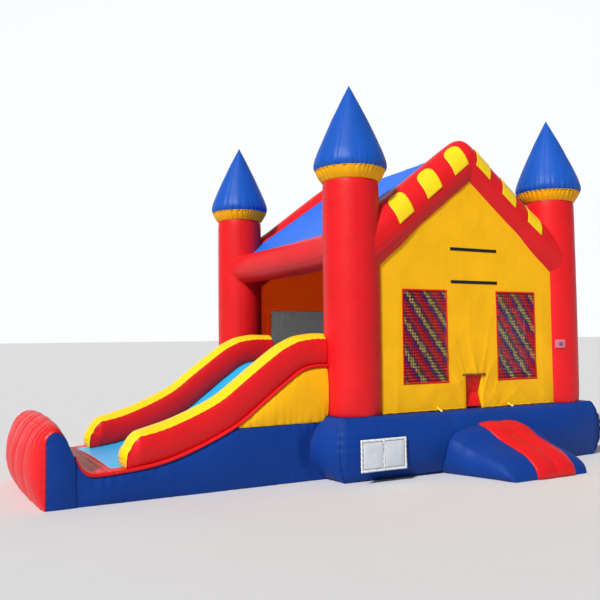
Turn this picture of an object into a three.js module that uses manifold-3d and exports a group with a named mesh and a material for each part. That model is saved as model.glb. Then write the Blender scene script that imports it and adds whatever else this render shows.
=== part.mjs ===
// Inflatable bounce house with a slide: a castle-shaped house of air chambers, the slide on its left side,
// an entry ramp in front and the air blower behind.
// Millimetres. The origin is on the ground under the middle of the house, +X to the right along the front,
// +Y to the back, +Z up. Every air chamber is a thin skin with an air port, as the sewn chambers are.

import * as THREE from 'three';
import { mergeVertices } from 'three/addons/utils/BufferGeometryUtils.js';
import Module from 'manifold-3d';

const wasm = await Module();
wasm.setup();

// ---------------------------------------------------------------- driving dimensions

const GAP = 0.3; // between pieces that touch
const SKIN = 3; // wall of an air chamber
const SHEET = 4; // wall, roof and net sheets

const PITCH = 3030; // between column axes
const HALF = PITCH / 2;
const FLOOR_Z = 660; // top of the base
const BASE_SEAM = HALF + 310; // half the width of the base at its seams
const BASE_SWELL_SIDE = 340; // how far the left and right walls of the base bulge
const BASE_SWELL_FRONT = 190; // how far the front and rear walls bulge
const CORNER_SWELL = 0.22; // share of the bulge left at a corner
const BAFFLE_LENGTH = 3300;
const BAFFLE_X = 610; // baffles stand this far left and right of the middle
const AIR_PORT_R = 60;

const COLUMN_R = 310;
const COLUMN_TOP = 3205;
const SEAM_Z = 3320; // seam between collar and spire
const SEAM_R = 395;
const SPIRE_R = 403;
const SPIRE_APEX = 4288;

const ARCH_R = 283;
const ARCH_APEX_Z = 3530; // where the centre lines of the two slopes meet
const ARCH_SLOPE = THREE.MathUtils.degToRad(37.5);
const BEAM_R = 205;
const BEAM_Z = 2492;
const ROOF_RIDGE_Z = 3730;
const ROOF_SLOPE = THREE.MathUtils.degToRad(35.3);
const ROOF_HALF_WIDTH = 1470;

const WALL_OUT = 210; // wall sheets stand this far outside the column axes
const WALL_REACH = 1300; // half the width of a wall sheet
const WALL_EAVE_Z = 2340;
const LOW_WALL_H = 830;
const SIDE_WALL_TOP = BEAM_Z - 60;
const WINDOW_W = 600;
const WINDOW_H = 1025;
const WINDOW_Z = 985; // lower edge of the front windows
const WINDOW_X = 685; // front window centres from the middle
const MESH_W = 1810; // dark mesh windows at the back and right
const MESH_H = 940;
const MESH_Z = 970;
const ENTRANCE_W = 290;
const ENTRANCE_TOP = 1040;
const FLAP_W = 250;
const FLAP_T = 4;
const FLAP_KNEE_Z = 835;
const FLAP_KNEE_IN = 76; // the crease stands this far inside the wall
const FLAP_FOOT_IN = 10; // and the lower edge this far
const BANNER_W = 700;
const BANNER_H = 36;
const BANNER_X = 45;
const BANNER_Z = [2502, 2122];

const SLIDE_Y0 = -HALF; // near side of the slide
const SLIDE_W = 1850;
const SLIDE_MID_Y = SLIDE_Y0 + SLIDE_W / 2;
const RAIL_W = 330;
const RAIL_T = 330;
const RAIL_BEVEL = 70;
const RAIL_FROM_X = -1640; // the rails' rounded edges grow past these by their bevel
const RAIL_TO_X = -3915;
const BED_T = 35;
const CHAMBER_SPLIT_Z = 600; // under the bed the slide is blue below this height and yellow above it
const SHOULDER_X = -2889; // the yellow chamber starts here
const STOP_X0 = -HALF - 3200; // outer face of the stop wall at its seams
const STOP_T = 262;
const STOP_H = 700;
const STOP_SWELL = 190; // how far its outer face bulges
const STOP_CROWN = 90; // and its top
const LANDING_X = -HALF - 2590; // the light blue bed ends here and the red landing begins
const STEP_X = -1255; // back of the climbing steps
const STEP_RUN = 210;
const STEP_RISE = 180;
const STEP_COUNT = 3;

const RAMP_W = 1360; // where the ramp meets the house
const RAMP_ROOT_X = 40; // middle of the ramp there
const RAMP_SHIFT = 150; // how far its nose lies to the right of its root
const RAMP_TAPER = 0.19; // share of its width lost at the nose
const RAMP_LENGTH = 850;
const TREAD_W = 660;
const TREAD_OFFSET = 92; // from the middle of the ramp
const TREAD_LIFT = 22;

const POUCH_SIZE = [565, 3, 325];
const POUCH_PLACE = [-1475, -HALF - 470, 292];
const POUCH_TILT = THREE.MathUtils.degToRad(4);
const POUCH_TURN = THREE.MathUtils.degToRad(-6); // it follows the rounded corner of the base

const SLEEVE_X = 900;
const SLEEVE_END_Y = 2760;
const BLOWER_Y = 3000; // fan axis
const BLOWER_Z = 240;
const BLOWER_R = 200;
const BLOWER_W = 280;
const BLOWER_WALL = 5;
const INLET_R = 118;
const GRILLE_BAR_PITCH = 30;
const WHEEL_R = 150;
const WHEEL_W = 190;
const BLADES = 14;
const BLADE_REACH = 26;
const SHAFT_R = 10;
const SHAFT_CLEAR_R = 14;
const MOTOR_R = 78;
const MOTOR_LENGTH = 140;
const INLET_BOX = [90, 70, 46];
const SWITCH_WELL = [22.6, 32.6, 60];
const FOOT_SIZE = [30, 300, 39];
const DUCT_Y = 2700; // mouth of the blower's outlet
const DUCT_TOP_Z = 240;
const DUCT_FLOOR_Z = 40;
const SLEEVE_WALL = 3;
const STRAP_W = 38;
const STRAP_T = 3;

const RING_BAR_Y = 1930;
const RING_X = 1560;
const RING_W = 66;
const RING_REACH = 62;
const RING_WIRE = 3.2;
const RING_BAR_Z = 9.6;
const TAB_W = 44;
const ZIP_X0 = -700;
const ZIP_LENGTH = 500;
const ZIP_TAPE_W = 44;
const ZIP_Z = 330;

// ---------------------------------------------------------------- materials

function vinyl(colour, roughness = 0.38) {
  return new THREE.MeshStandardMaterial({ color: colour, roughness, metalness: 0 });
}

const RED = vinyl(0xd8232a);
const BLUE = vinyl(0x14419c);
const SPIRE_BLUE = vinyl(0x1f5fc8);
const ROOF_BLUE = vinyl(0x2d78ee);
const YELLOW = vinyl(0xf4b50f);
const BED_BLUE = vinyl(0x2ea5f5, 0.3);
const NET = vinyl(0x7a3b5a, 0.8);
const MESH = vinyl(0x3c4146, 0.8);
const BLACK_WEB = vinyl(0x15130f, 0.9);
const WHITE = vinyl(0xeef0f2, 0.5);
const BAFFLE = vinyl(0xdfe2e6, 0.6);
const HOUSING = vinyl(0x2b2d31, 0.55);
const FAN = vinyl(0x4a4d52, 0.5);
const RUBBER = vinyl(0x111214, 0.9);
const SWITCH_RED = vinyl(0xc21d1d, 0.4);
const STEEL = new THREE.MeshStandardMaterial({ color: 0xc8ccd0, roughness: 0.3, metalness: 1 });
const MOTOR_METAL = new THREE.MeshStandardMaterial({ color: 0x8f9499, roughness: 0.4, metalness: 0.9 });

// ---------------------------------------------------------------- solids

function solid(geometry) {
  const bare = new THREE.BufferGeometry();
  bare.setAttribute('position', geometry.attributes.position.clone());
  if (geometry.index) bare.setIndex(geometry.index.clone());
  const merged = mergeVertices(bare, 1e-3);
  return new wasm.Manifold(new wasm.Mesh({
    numProp: 3,
    vertProperties: new Float32Array(merged.attributes.position.array),
    triVerts: new Uint32Array(merged.index.array),
  }));
}

function geometryOf(body) {
  const mesh = body.getMesh();
  const geometry = new THREE.BufferGeometry();
  geometry.setAttribute('position', new THREE.BufferAttribute(new Float32Array(mesh.vertProperties), 3));
  geometry.setIndex(new THREE.BufferAttribute(new Uint32Array(mesh.triVerts), 1));
  return geometry;
}

function subtractAll(body, tools) {
  return tools.reduce((rest, tool) => rest.subtract(tool), body);
}

function box(size, centre) {
  return new THREE.BoxGeometry(...size).translate(...centre);
}

function rod(radius, length, axis, centre, sides = 24) {
  const geometry = new THREE.CylinderGeometry(radius, radius, length, sides);
  if (axis === 'x') geometry.rotateZ(Math.PI / 2);
  if (axis === 'z') geometry.rotateX(Math.PI / 2);
  return geometry.translate(...centre);
}

/** A thin skin: the outer solid less the same solid built smaller, less its ports. */
function skin(build, ports = []) {
  return subtractAll(solid(build(0)), [solid(build(SKIN)), ...ports]);
}

/** An outline moved inwards by a distance; the outline runs anticlockwise. */
function insetOutline(points, distance) {
  const count = points.length;
  return points.map((point, i) => {
    const before = point.clone().sub(points[(i + count - 1) % count]).normalize();
    const after = points[(i + 1) % count].clone().sub(point).normalize();
    const normal = new THREE.Vector2(-before.y - after.y, before.x + after.x);
    const reach = normal.x * -after.y + normal.y * after.x;
    return point.clone().addScaledVector(normal, distance / reach);
  });
}

/** Extrudes a side view drawn in X and Z along Y, from y0 over a width. */
function extrudeSide(outline, y0, width) {
  const shape = new THREE.Shape(outline);
  const geometry = new THREE.ExtrudeGeometry(shape, { depth: width, bevelEnabled: false });
  return geometry.rotateX(Math.PI / 2).translate(0, y0 + width, 0);
}

/** Extrudes a side view drawn in Y and Z along X, from x0 over a width. */
function extrudeAcross(outline, x0, width, holes = []) {
  const shape = new THREE.Shape(outline);
  shape.holes.push(...holes);
  const geometry = new THREE.ExtrudeGeometry(shape, { depth: width, bevelEnabled: false });
  return geometry.rotateX(Math.PI / 2).rotateZ(Math.PI / 2).translate(x0, 0, 0);
}

function vectors(pairs) {
  return pairs.map(([x, y]) => new THREE.Vector2(x, y));
}

/** Pushes the walls of a box outwards as air does: most in mid wall, least at the seams. */
function inflatedBlock(size, segments, swell, inset) {
  const [w, d, h] = size.map((side) => side - 2 * inset);
  const block = new THREE.BoxGeometry(w, d, h, ...segments);
  const place = block.attributes.position;
  const onFace = (t) => Math.abs(t) > 1 - 1e-6;
  const across = (t) => Math.cos((t * Math.PI) / 2) ** 0.7;
  const along = (t) => CORNER_SWELL + (1 - CORNER_SWELL) * (1 - t ** 4);
  for (let i = 0; i < place.count; i += 1) {
    const at = new THREE.Vector3().fromBufferAttribute(place, i);
    const [x, y, z] = [(2 * at.x) / w, (2 * at.y) / d, (2 * at.z) / h];
    if (onFace(x)) at.x += x * (x < 0 ? swell.left : swell.right) * across(z) * along(y);
    if (onFace(y)) at.y += y * swell.front * across(z) * along(x);
    if (z > 1 - 1e-6) at.z += swell.top * (1 - y ** 4) * (1 - x * x);
    place.setXYZ(i, at.x, at.y, at.z);
  }
  return block;
}

const root = new THREE.Group();

function add(name, body, material) {
  const geometry = body.isBufferGeometry ? body : geometryOf(body);
  const mesh = new THREE.Mesh(geometry, material);
  mesh.name = name;
  root.add(mesh);
}

// ---------------------------------------------------------------- base

const CORNERS = { front_left: [-1, -1], front_right: [1, -1], rear_left: [-1, 1], rear_right: [1, 1] };

function baseBlock(inset) {
  const swell = { left: BASE_SWELL_SIDE, right: BASE_SWELL_SIDE, front: BASE_SWELL_FRONT, top: 0 };
  const block = inflatedBlock([2 * BASE_SEAM, 2 * BASE_SEAM, FLOOR_Z], [8, 8, 6], swell, inset);
  return block.translate(0, 0, FLOOR_Z / 2);
}

function makeBase() {
  const ports = Object.values(CORNERS).map(([sx, sy]) => (
    solid(rod(AIR_PORT_R, 4 * SKIN, 'z', [sx * HALF, sy * HALF, FLOOR_Z], 10))
  ));
  const portZ = (DUCT_TOP_Z + DUCT_FLOOR_Z) / 2;
  const sleevePort = solid(box([150, 500, 120], [SLEEVE_X, BASE_SEAM + 100, portZ]));
  add('base_mattress', skin(baseBlock, [...ports, sleevePort]), BLUE);
  const baffleHeight = FLOOR_Z - 2 * SKIN - 2 * GAP;
  [['left', -BAFFLE_X], ['right', BAFFLE_X]].forEach(([side, x]) => {
    add(`floor_baffle_${side}`, box([2, BAFFLE_LENGTH, baffleHeight], [x, 0, FLOOR_Z / 2]), BAFFLE);
  });
}

const baseGrown = solid(baseBlock(-GAP));

// ---------------------------------------------------------------- columns, collars and spires

function columnAt([sx, sy], radius, z0, z1, sides = 28) {
  return solid(rod(radius, z1 - z0, 'z', [sx * HALF, sy * HALF, (z0 + z1) / 2], sides));
}

const columnTools = {};
Object.entries(CORNERS).forEach(([name, at]) => {
  columnTools[name] = columnAt(at, COLUMN_R + GAP, FLOOR_Z - 40, COLUMN_TOP);
});

/** A turned skin around a corner's vertical axis. */
function turned(profile, [sx, sy]) {
  const geometry = new THREE.LatheGeometry(vectors(profile), 28).rotateX(Math.PI / 2);
  return solid(geometry.translate(sx * HALF, sy * HALF, 0));
}

function makeTowers() {
  Object.entries(CORNERS).forEach(([name, at]) => {
    const outer = columnAt(at, COLUMN_R, FLOOR_Z + GAP, COLUMN_TOP - GAP);
    const inner = columnAt(at, COLUMN_R - SKIN, FLOOR_Z - 10, COLUMN_TOP - GAP - SKIN);
    const port = columnAt(at, AIR_PORT_R, COLUMN_TOP - 20, COLUMN_TOP + 20, 10);
    add(`column_${name}`, outer.subtract(inner).subtract(port), RED);

    const low = COLUMN_TOP;
    const collar = [
      [COLUMN_R - SKIN, low], [COLUMN_R, low], [362, low + 52], [SEAM_R, SEAM_Z - GAP],
      [SEAM_R - SKIN, SEAM_Z - GAP], [362 - SKIN, low + 52], [COLUMN_R - SKIN, low],
    ];
    add(`collar_${name}`, turned(collar, at), YELLOW);

    const high = SEAM_Z;
    const spire = [
      [SEAM_R - SKIN, high], [SEAM_R, high], [SPIRE_R, high + 58], [394, high + 115], [372, high + 175],
      [0, SPIRE_APEX], [0, SPIRE_APEX - 2 * SKIN], [372 - SKIN, high + 173], [394 - SKIN, high + 114],
      [SPIRE_R - SKIN, high + 58], [SEAM_R - SKIN, high],
    ];
    add(`spire_${name}`, turned(spire, at), SPIRE_BLUE);
  });
}

// ---------------------------------------------------------------- arches, beams and roof

/** The two sloping tubes over the front or the back, mitred at the ridge. */
function gable(radius, sy) {
  const length = 2200;
  const past = 400; // each tube runs this far past the ridge before it is cut
  const slopes = [-1, 1].map((side) => {
    const tube = rod(radius, length, 'x', [(-side * length) / 2 + side * past, 0, 0], 20);
    tube.rotateY(-side * ARCH_SLOPE).translate(0, sy * HALF, ARCH_APEX_Z);
    const half = solid(box([HALF, 800, 3000], [(-side * HALF) / 2, sy * HALF, 2600]));
    return solid(tube).intersect(half);
  });
  return slopes[0].add(slopes[1]);
}

function columnPair(sy) {
  return ['left', 'right'].map((side) => columnTools[`${sy < 0 ? 'front' : 'rear'}_${side}`]);
}

const archTools = [-1, 1].map((sy) => gable(ARCH_R + GAP, sy));

function makeTop() {
  [['front_arch', -1], ['rear_arch', 1]].forEach(([name, sy]) => {
    const tube = gable(ARCH_R, sy).subtract(gable(ARCH_R - SKIN, sy));
    add(name, subtractAll(tube, columnPair(sy)), RED);
  });
  [['left_beam', -1], ['right_beam', 1]].forEach(([name, sx]) => {
    const centre = [sx * HALF, 0, BEAM_Z];
    const tube = solid(rod(BEAM_R, PITCH, 'y', centre, 20)).subtract(
      solid(rod(BEAM_R - SKIN, PITCH + 10, 'y', centre, 20)),
    );
    add(name, subtractAll(tube, [...Object.values(columnTools), ...archTools]), RED);
  });
  const drop = ROOF_HALF_WIDTH * Math.tan(ROOF_SLOPE);
  const outline = vectors([
    [-ROOF_HALF_WIDTH, ROOF_RIDGE_Z - drop - SHEET], [0, ROOF_RIDGE_Z - SHEET],
    [ROOF_HALF_WIDTH, ROOF_RIDGE_Z - drop - SHEET], [ROOF_HALF_WIDTH, ROOF_RIDGE_Z - drop],
    [0, ROOF_RIDGE_Z], [-ROOF_HALF_WIDTH, ROOF_RIDGE_Z - drop],
  ]);
  const sheet = solid(extrudeSide(outline, -HALF + 200, PITCH - 400));
  const beamTool = (sx) => solid(rod(BEAM_R + GAP, PITCH, 'y', [sx * HALF, 0, BEAM_Z], 20));
  const clear = [...archTools, beamTool(-1), beamTool(1), ...Object.values(columnTools)];
  add('roof_cover', subtractAll(sheet, clear), ROOF_BLUE);
}

// ---------------------------------------------------------------- walls, nets and entrance

/** A gable-shaped sheet across the front or back, cut to the columns and the arch. */
function gableSheet(sy, holes) {
  const reach = WALL_REACH;
  const eave = WALL_EAVE_Z;
  const outline = vectors([
    [-reach, FLOOR_Z + GAP], [reach, FLOOR_Z + GAP], [reach, eave],
    [0, eave + reach * Math.tan(ARCH_SLOPE)], [-reach, eave],
  ]);
  const sheet = solid(extrudeSide(outline, sy * (HALF + WALL_OUT) - SHEET / 2, SHEET));
  return subtractAll(sheet, [...holes, ...columnPair(sy), ...archTools]);
}

function windowHole(x, z, width, height, y) {
  return solid(box([width, 60, height], [x, y, z + height / 2]));
}

function makeFront() {
  const y = -HALF - WALL_OUT;
  const holes = [-1, 1].map((side) => windowHole(side * WINDOW_X, WINDOW_Z, WINDOW_W, WINDOW_H, y));
  holes.push(windowHole(0, FLOOR_Z - 20, ENTRANCE_W, ENTRANCE_TOP - FLOOR_Z + 20, y));
  add('front_wall', gableSheet(-1, holes), YELLOW);
  [['left', -1], ['right', 1]].forEach(([name, side]) => {
    const size = [WINDOW_W - 2 * GAP, SHEET, WINDOW_H - 2 * GAP];
    add(`front_window_net_${name}`, box(size, [side * WINDOW_X, y, WINDOW_Z + WINDOW_H / 2]), NET);
  });
  [['upper', BANNER_Z[0]], ['lower', BANNER_Z[1]]].forEach(([name, z]) => {
    const place = [BANNER_X, y - SHEET / 2 - 1 - GAP, z];
    add(`banner_strip_${name}`, box([BANNER_W, 2, BANNER_H], place), BLACK_WEB);
  });
  const face = [
    [y - SHEET / 2, ENTRANCE_TOP - 4], [y + FLAP_KNEE_IN, FLAP_KNEE_Z], [y + FLAP_FOOT_IN, FLOOR_Z + 22],
  ];
  const back = face.map(([fy, fz]) => [fy + FLAP_T, fz]).reverse();
  const flap = extrudeAcross(vectors([...face, ...back]), -FLAP_W / 2, FLAP_W);
  add('door_flap', flap, RED);
}

function makeOtherWalls() {
  const y = HALF + WALL_OUT;
  add('rear_wall', gableSheet(1, [windowHole(0, MESH_Z, MESH_W, MESH_H, y)]), YELLOW);
  const size = [MESH_W - 2 * GAP, SHEET, MESH_H - 2 * GAP];
  add('rear_window_mesh', box(size, [0, y, MESH_Z + MESH_H / 2]), MESH);

  const x = HALF + WALL_OUT;
  const foot = FLOOR_Z + GAP;
  const tall = SIDE_WALL_TOP - foot;
  const beam = solid(rod(BEAM_R + GAP, PITCH, 'y', [HALF, 0, BEAM_Z], 20));
  const sheet = solid(box([SHEET, 2 * WALL_REACH, tall], [x, 0, foot + tall / 2]));
  const hole = solid(box([60, MESH_W, MESH_H], [x, 0, MESH_Z + MESH_H / 2]));
  const clear = [hole, beam, columnTools.front_right, columnTools.rear_right];
  add('right_wall', subtractAll(sheet, clear), YELLOW);
  add('right_window_mesh', box([SHEET, size[0], size[2]], [x, 0, MESH_Z + MESH_H / 2]), MESH);

  const y0 = SLIDE_Y0 + SLIDE_W + GAP;
  const y1 = WALL_REACH;
  const low = solid(box([SHEET, y1 - y0, LOW_WALL_H], [-x, (y0 + y1) / 2, foot + LOW_WALL_H / 2]));
  add('left_low_wall', subtractAll(low, [columnTools.rear_left]), YELLOW);
}

// ---------------------------------------------------------------- slide

// Side view of the top of the chambers under the slide, from the climbing steps to the stop wall.
const slideLine = new THREE.SplineCurve(vectors([
  [STEP_X, 1172], [-1700, 1172], [-2060, 1168], [-2300, 1025], [-2600, 805], [-2889, 600],
  [-3371, 392], [-3749, 292], [-4200, 252], [STOP_X0 + STOP_T + GAP, 262],
])).getPoints(22);

/** The slide line moved up along its own normal. */
function liftedLine(height) {
  return slideLine.map((point, i) => {
    const ahead = slideLine[Math.min(i + 1, slideLine.length - 1)];
    const behind = slideLine[Math.max(i - 1, 0)];
    const run = ahead.clone().sub(behind).normalize();
    return new THREE.Vector2(point.x + run.y * height, point.y - run.x * height);
  });
}

/** The stretch of a line between two places in X, with a new point at each end. */
function trimmedLine(line, fromX, toX) {
  const at = (x) => {
    const i = line.findIndex((point) => point.x <= x);
    return line[i - 1].clone().lerp(line[i], (x - line[i - 1].x) / (line[i].x - line[i - 1].x));
  };
  const between = line.filter((point) => point.x < fromX - 20 && point.x > toX + 20);
  return [at(fromX), ...between, at(toX)];
}

/** The band between two heights over the slide line, as wide as the slide and a margin on each side. */
function bedStrip(low, high, margin) {
  const outline = [...liftedLine(high), ...liftedLine(low).reverse()];
  return solid(extrudeSide(outline, SLIDE_Y0 - margin, SLIDE_W + 2 * margin));
}

/** The side view of the blue or the yellow chamber under the bed. */
function underSlide(inset, part) {
  const line = insetLine(slideLine, inset);
  if (part === 'base') {
    const foot = [[-1500, inset], [-1500, CHAMBER_SPLIT_Z - inset]];
    const top = line.filter((point) => point.y < CHAMBER_SPLIT_Z - inset - 1);
    const start = new THREE.Vector2(STOP_X0 + STOP_T + GAP + inset, inset);
    return [start, ...vectors(foot), ...top];
  }
  const top = line.filter((point) => point.y > CHAMBER_SPLIT_Z + GAP + inset + 1);
  const foot = vectors([
    [SHOULDER_X + 14 + 3 * inset, CHAMBER_SPLIT_Z + GAP + inset],
    [STEP_X - inset, CHAMBER_SPLIT_Z + GAP + inset],
  ]);
  return [...foot, ...top];
}

function insetLine(line, inset) {
  const last = line.length - 1;
  return line.map((point, i) => new THREE.Vector2(
    point.x + (i === 0 ? -inset : 0) + (i === last ? inset : 0),
    point.y - inset,
  ));
}

function slideChamber(part) {
  const build = (inset) => extrudeSide(underSlide(inset, part), SLIDE_Y0 + inset, SLIDE_W - 2 * inset);
  return skin(build);
}

function makeSlideBody() {
  const neck = solid(box([600, 900, 130], [-1750, SLIDE_MID_Y, 400]));
  const floor = solid(box([1200, SLIDE_W + 20, 60], [-1400, SLIDE_MID_Y, FLOOR_Z - 30 + GAP]));
  const passage = solid(box([200, 200, 20], [-2400, SLIDE_MID_Y, CHAMBER_SPLIT_Z]));
  add('slide_base', subtractAll(slideChamber('base'), [baseGrown, neck]), BLUE);
  const clear = [baseGrown, floor, columnTools.front_left, passage];
  add('slide_shoulder', subtractAll(slideChamber('shoulder'), clear), YELLOW);
}

function makeBed() {
  const strip = bedStrip(GAP, BED_T, 0).subtract(columnTools.front_left);
  const leftOf = (x) => solid(box([2000, 4000, 2000], [x - 1000, 0, 500]));
  add('slide_bed', strip.subtract(leftOf(LANDING_X + GAP)), BED_BLUE);
  add('landing_pad', strip.intersect(leftOf(LANDING_X)), RED);
}

function makeRails() {
  const clear = [columnTools.front_left, bedStrip(0, BED_T + GAP, 50)];
  add('slide_rail_near', subtractAll(railBody(SLIDE_Y0), clear), RED);
  add('slide_rail_far', subtractAll(railBody(SLIDE_Y0 + SLIDE_W - RAIL_W), clear), RED);
}

function makeStopWall() {
  const swell = { left: STOP_SWELL, right: 0, front: 8, top: STOP_CROWN };
  const wall = (inset) => inflatedBlock([STOP_T, SLIDE_W, STOP_H], [2, 8, 6], swell, inset)
    .translate(STOP_X0 + STOP_T / 2, SLIDE_MID_Y, STOP_H / 2);
  const neck = solid(box([80, 300, 120], [STOP_X0 + STOP_T, SLIDE_MID_Y, 130]));
  add('stop_wall', skin(wall, [neck]), RED);
}

/** A rail: a rounded bar that follows the slide line and turns down at its lower end. */
function railBody(y0) {
  const lower = trimmedLine(liftedLine(BED_T + GAP + RAIL_BEVEL), RAIL_FROM_X, RAIL_TO_X);
  const upper = trimmedLine(liftedLine(BED_T + RAIL_T - RAIL_BEVEL), RAIL_FROM_X, RAIL_TO_X);
  const nose = vectors([[RAIL_TO_X - 30, 500], [RAIL_TO_X - 34, 420]]);
  const outline = [...upper, ...nose, ...lower.reverse()];
  const bar = (inset) => {
    const geometry = new THREE.ExtrudeGeometry(new THREE.Shape(outline), {
      depth: RAIL_W - 2 * RAIL_BEVEL,
      bevelSize: RAIL_BEVEL - inset,
      bevelThickness: RAIL_BEVEL - inset,
      bevelSegments: 2,
    });
    return geometry.rotateX(Math.PI / 2).translate(0, y0 + RAIL_W - RAIL_BEVEL, 0);
  };
  const port = solid(box([60, 60, 200], [-2500, y0 + RAIL_W / 2, 900]));
  return solid(bar(0)).subtract(solid(bar(SKIN))).subtract(port);
}

function makeSteps() {
  const outline = [[STEP_X + GAP, FLOOR_Z + GAP]];
  for (let i = 0; i < STEP_COUNT; i += 1) {
    const x = STEP_X + GAP + (STEP_COUNT - i) * STEP_RUN;
    outline.push([x, FLOOR_Z + (i === 0 ? GAP : i * STEP_RISE)], [x, FLOOR_Z + (i + 1) * STEP_RISE]);
  }
  outline.push([STEP_X + GAP, FLOOR_Z + STEP_COUNT * STEP_RISE]);
  const shape = vectors(outline);
  const y0 = SLIDE_Y0 + RAIL_W;
  const width = SLIDE_W - 2 * RAIL_W;
  const build = (inset) => extrudeSide(insetOutline(shape, inset), y0 + inset, width - 2 * inset);
  const port = solid(rod(40, 40, 'z', [STEP_X + 150, y0 + width / 2, FLOOR_Z], 10));
  add('climb_steps', skin(build, [port]), ROOF_BLUE);
}

// ---------------------------------------------------------------- ramp and pouch

/** The ramp's side view, in Y and Z: down from the base to a rounded nose. */
function rampOutline(lift) {
  const top = [[-1700, 520 + lift], [-2050, 500 + lift], [-2330, 385 + lift], [-2560, 260 + lift]];
  const nose = [[-2660 - lift, 180], [-2702 - lift, 105], [-2690 - lift, 40], [-2660, 0]];
  return vectors([[-1700, 0], ...top, ...nose]);
}

/** Slants a part of the ramp to the right and narrows it towards the nose. */
function slant(geometry, taper) {
  const place = geometry.attributes.position;
  for (let i = 0; i < place.count; i += 1) {
    const run = (-BASE_SEAM - place.getY(i)) / RAMP_LENGTH;
    const across = (place.getX(i) - RAMP_ROOT_X) * (1 - taper * run);
    place.setX(i, RAMP_ROOT_X + across + RAMP_SHIFT * run);
  }
  return geometry;
}

function makeRampBody() {
  const outline = rampOutline(0);
  const x0 = RAMP_ROOT_X - RAMP_W / 2;
  const build = (inset) => {
    const side = insetOutline(outline, inset);
    return slant(extrudeAcross(side, x0 + inset, RAMP_W - 2 * inset), RAMP_TAPER);
  };
  const port = solid(box([200, 300, 100], [RAMP_ROOT_X, -2000, 150]));
  add('ramp_body', subtractAll(solid(build(0)), [solid(build(SKIN)), port, baseGrown]), BLUE);
}

function makeTread() {
  const x0 = RAMP_ROOT_X + TREAD_OFFSET - TREAD_W / 2;
  const raised = solid(slant(extrudeAcross(rampOutline(TREAD_LIFT), x0, TREAD_W), 0));
  const body = solid(slant(extrudeAcross(rampOutline(GAP), x0 - 5, TREAD_W + 10), 0));
  const ground = solid(box([3000, 3000, 100], [0, -2500, -42]));
  add('ramp_tread', subtractAll(raised, [body, baseGrown, ground]), RED);
}

function makePouch() {
  const pouch = new THREE.BoxGeometry(...POUCH_SIZE).rotateX(POUCH_TILT).rotateZ(POUCH_TURN);
  add('label_pouch', solid(pouch.translate(...POUCH_PLACE)).subtract(baseGrown), WHITE);
}

// ---------------------------------------------------------------- back: zip, anchors and air sleeve

function makeZip() {
  const y = BASE_SEAM + BASE_SWELL_FRONT + 3;
  const tape = box([ZIP_LENGTH, 3, ZIP_TAPE_W], [ZIP_X0 + ZIP_LENGTH / 2, y, ZIP_Z]);
  add('deflation_zip_tape', tape, BLACK_WEB);
  const body = solid(box([26, 8, 16], [ZIP_X0 + 18, y + 6, ZIP_Z]));
  const pull = solid(box([12, 3, 44], [ZIP_X0 + 18, y + 8, ZIP_Z - 26]));
  add('zip_slider', body.add(pull), STEEL);
}

/** The side view of a webbing tab: it leaves the base near the ground and loops round the ring's bar. */
function tabOutline() {
  const start = BASE_SEAM - 30;
  const outline = new THREE.Shape();
  outline.moveTo(start, 0.2);
  outline.lineTo(RING_BAR_Y, 0.2);
  outline.absarc(RING_BAR_Y, RING_BAR_Z, RING_BAR_Z - 0.2, -Math.PI / 2, Math.PI / 2, false);
  outline.lineTo(BASE_SEAM + 60, 5);
  outline.lineTo(start, 5);
  const eye = new THREE.Path();
  eye.absarc(RING_BAR_Y, RING_BAR_Z, RING_WIRE + 2.4, 0, Math.PI * 2, true);
  outline.holes.push(eye);
  return outline;
}

function makeAnchor(name, x) {
  const options = { depth: TAB_W, bevelEnabled: false, curveSegments: 6 };
  const loop = new THREE.ExtrudeGeometry(tabOutline(), options);
  loop.rotateX(Math.PI / 2).rotateZ(Math.PI / 2).translate(x - TAB_W / 2, 0, 0);
  add(`anchor_tab_${name}`, solid(loop).subtract(baseGrown), BLACK_WEB);

  const wire = RING_WIRE;
  const outline = ringShape(RING_W / 2, RING_REACH);
  outline.holes.push(ringShape(RING_W / 2 - 2 * wire, RING_REACH - 2 * wire, 2 * wire));
  const ring = new THREE.ExtrudeGeometry(outline, {
    depth: wire, bevelSize: wire / 3, bevelThickness: wire / 2, bevelSegments: 1, curveSegments: 10,
  });
  add(`anchor_ring_${name}`, ring.translate(x, RING_BAR_Y - wire, RING_BAR_Z - wire / 2), STEEL);
}

/** A D: a straight bar from -half to half at the foot, and an arch that reaches up from it. */
function ringShape(half, reach, foot = 0) {
  const shape = new THREE.Shape();
  shape.moveTo(-half, foot);
  shape.lineTo(half, foot);
  shape.lineTo(half, reach - half);
  shape.absarc(0, reach - half, half, 0, Math.PI, false);
  return shape;
}

/** A rectangular band round the blower's duct, so much wider and higher than it on each side. */
function ductBand(extra, length, y) {
  const size = [BLOWER_W + 2 * extra, length, DUCT_TOP_Z - DUCT_FLOOR_Z + 2 * extra];
  return solid(box(size, [SLEEVE_X, y, (DUCT_TOP_Z + DUCT_FLOOR_Z) / 2]));
}

function makeSleeve() {
  const length = SLEEVE_END_Y - BASE_SEAM;
  const y = (SLEEVE_END_Y + BASE_SEAM) / 2;
  const clear = 1;
  const outside = clear + SLEEVE_WALL;
  const hollow = ductBand(clear, length + 20, y);
  add('inflation_sleeve', subtractAll(ductBand(outside, length, y), [hollow, baseGrown]), BLUE);
  const strapY = SLEEVE_END_Y - 45;
  const strap = ductBand(outside + GAP + STRAP_T, STRAP_W, strapY);
  add('sleeve_strap', strap.subtract(ductBand(outside + GAP, STRAP_W + 12, strapY)), BLACK_WEB);
}

// ---------------------------------------------------------------- blower

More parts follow.
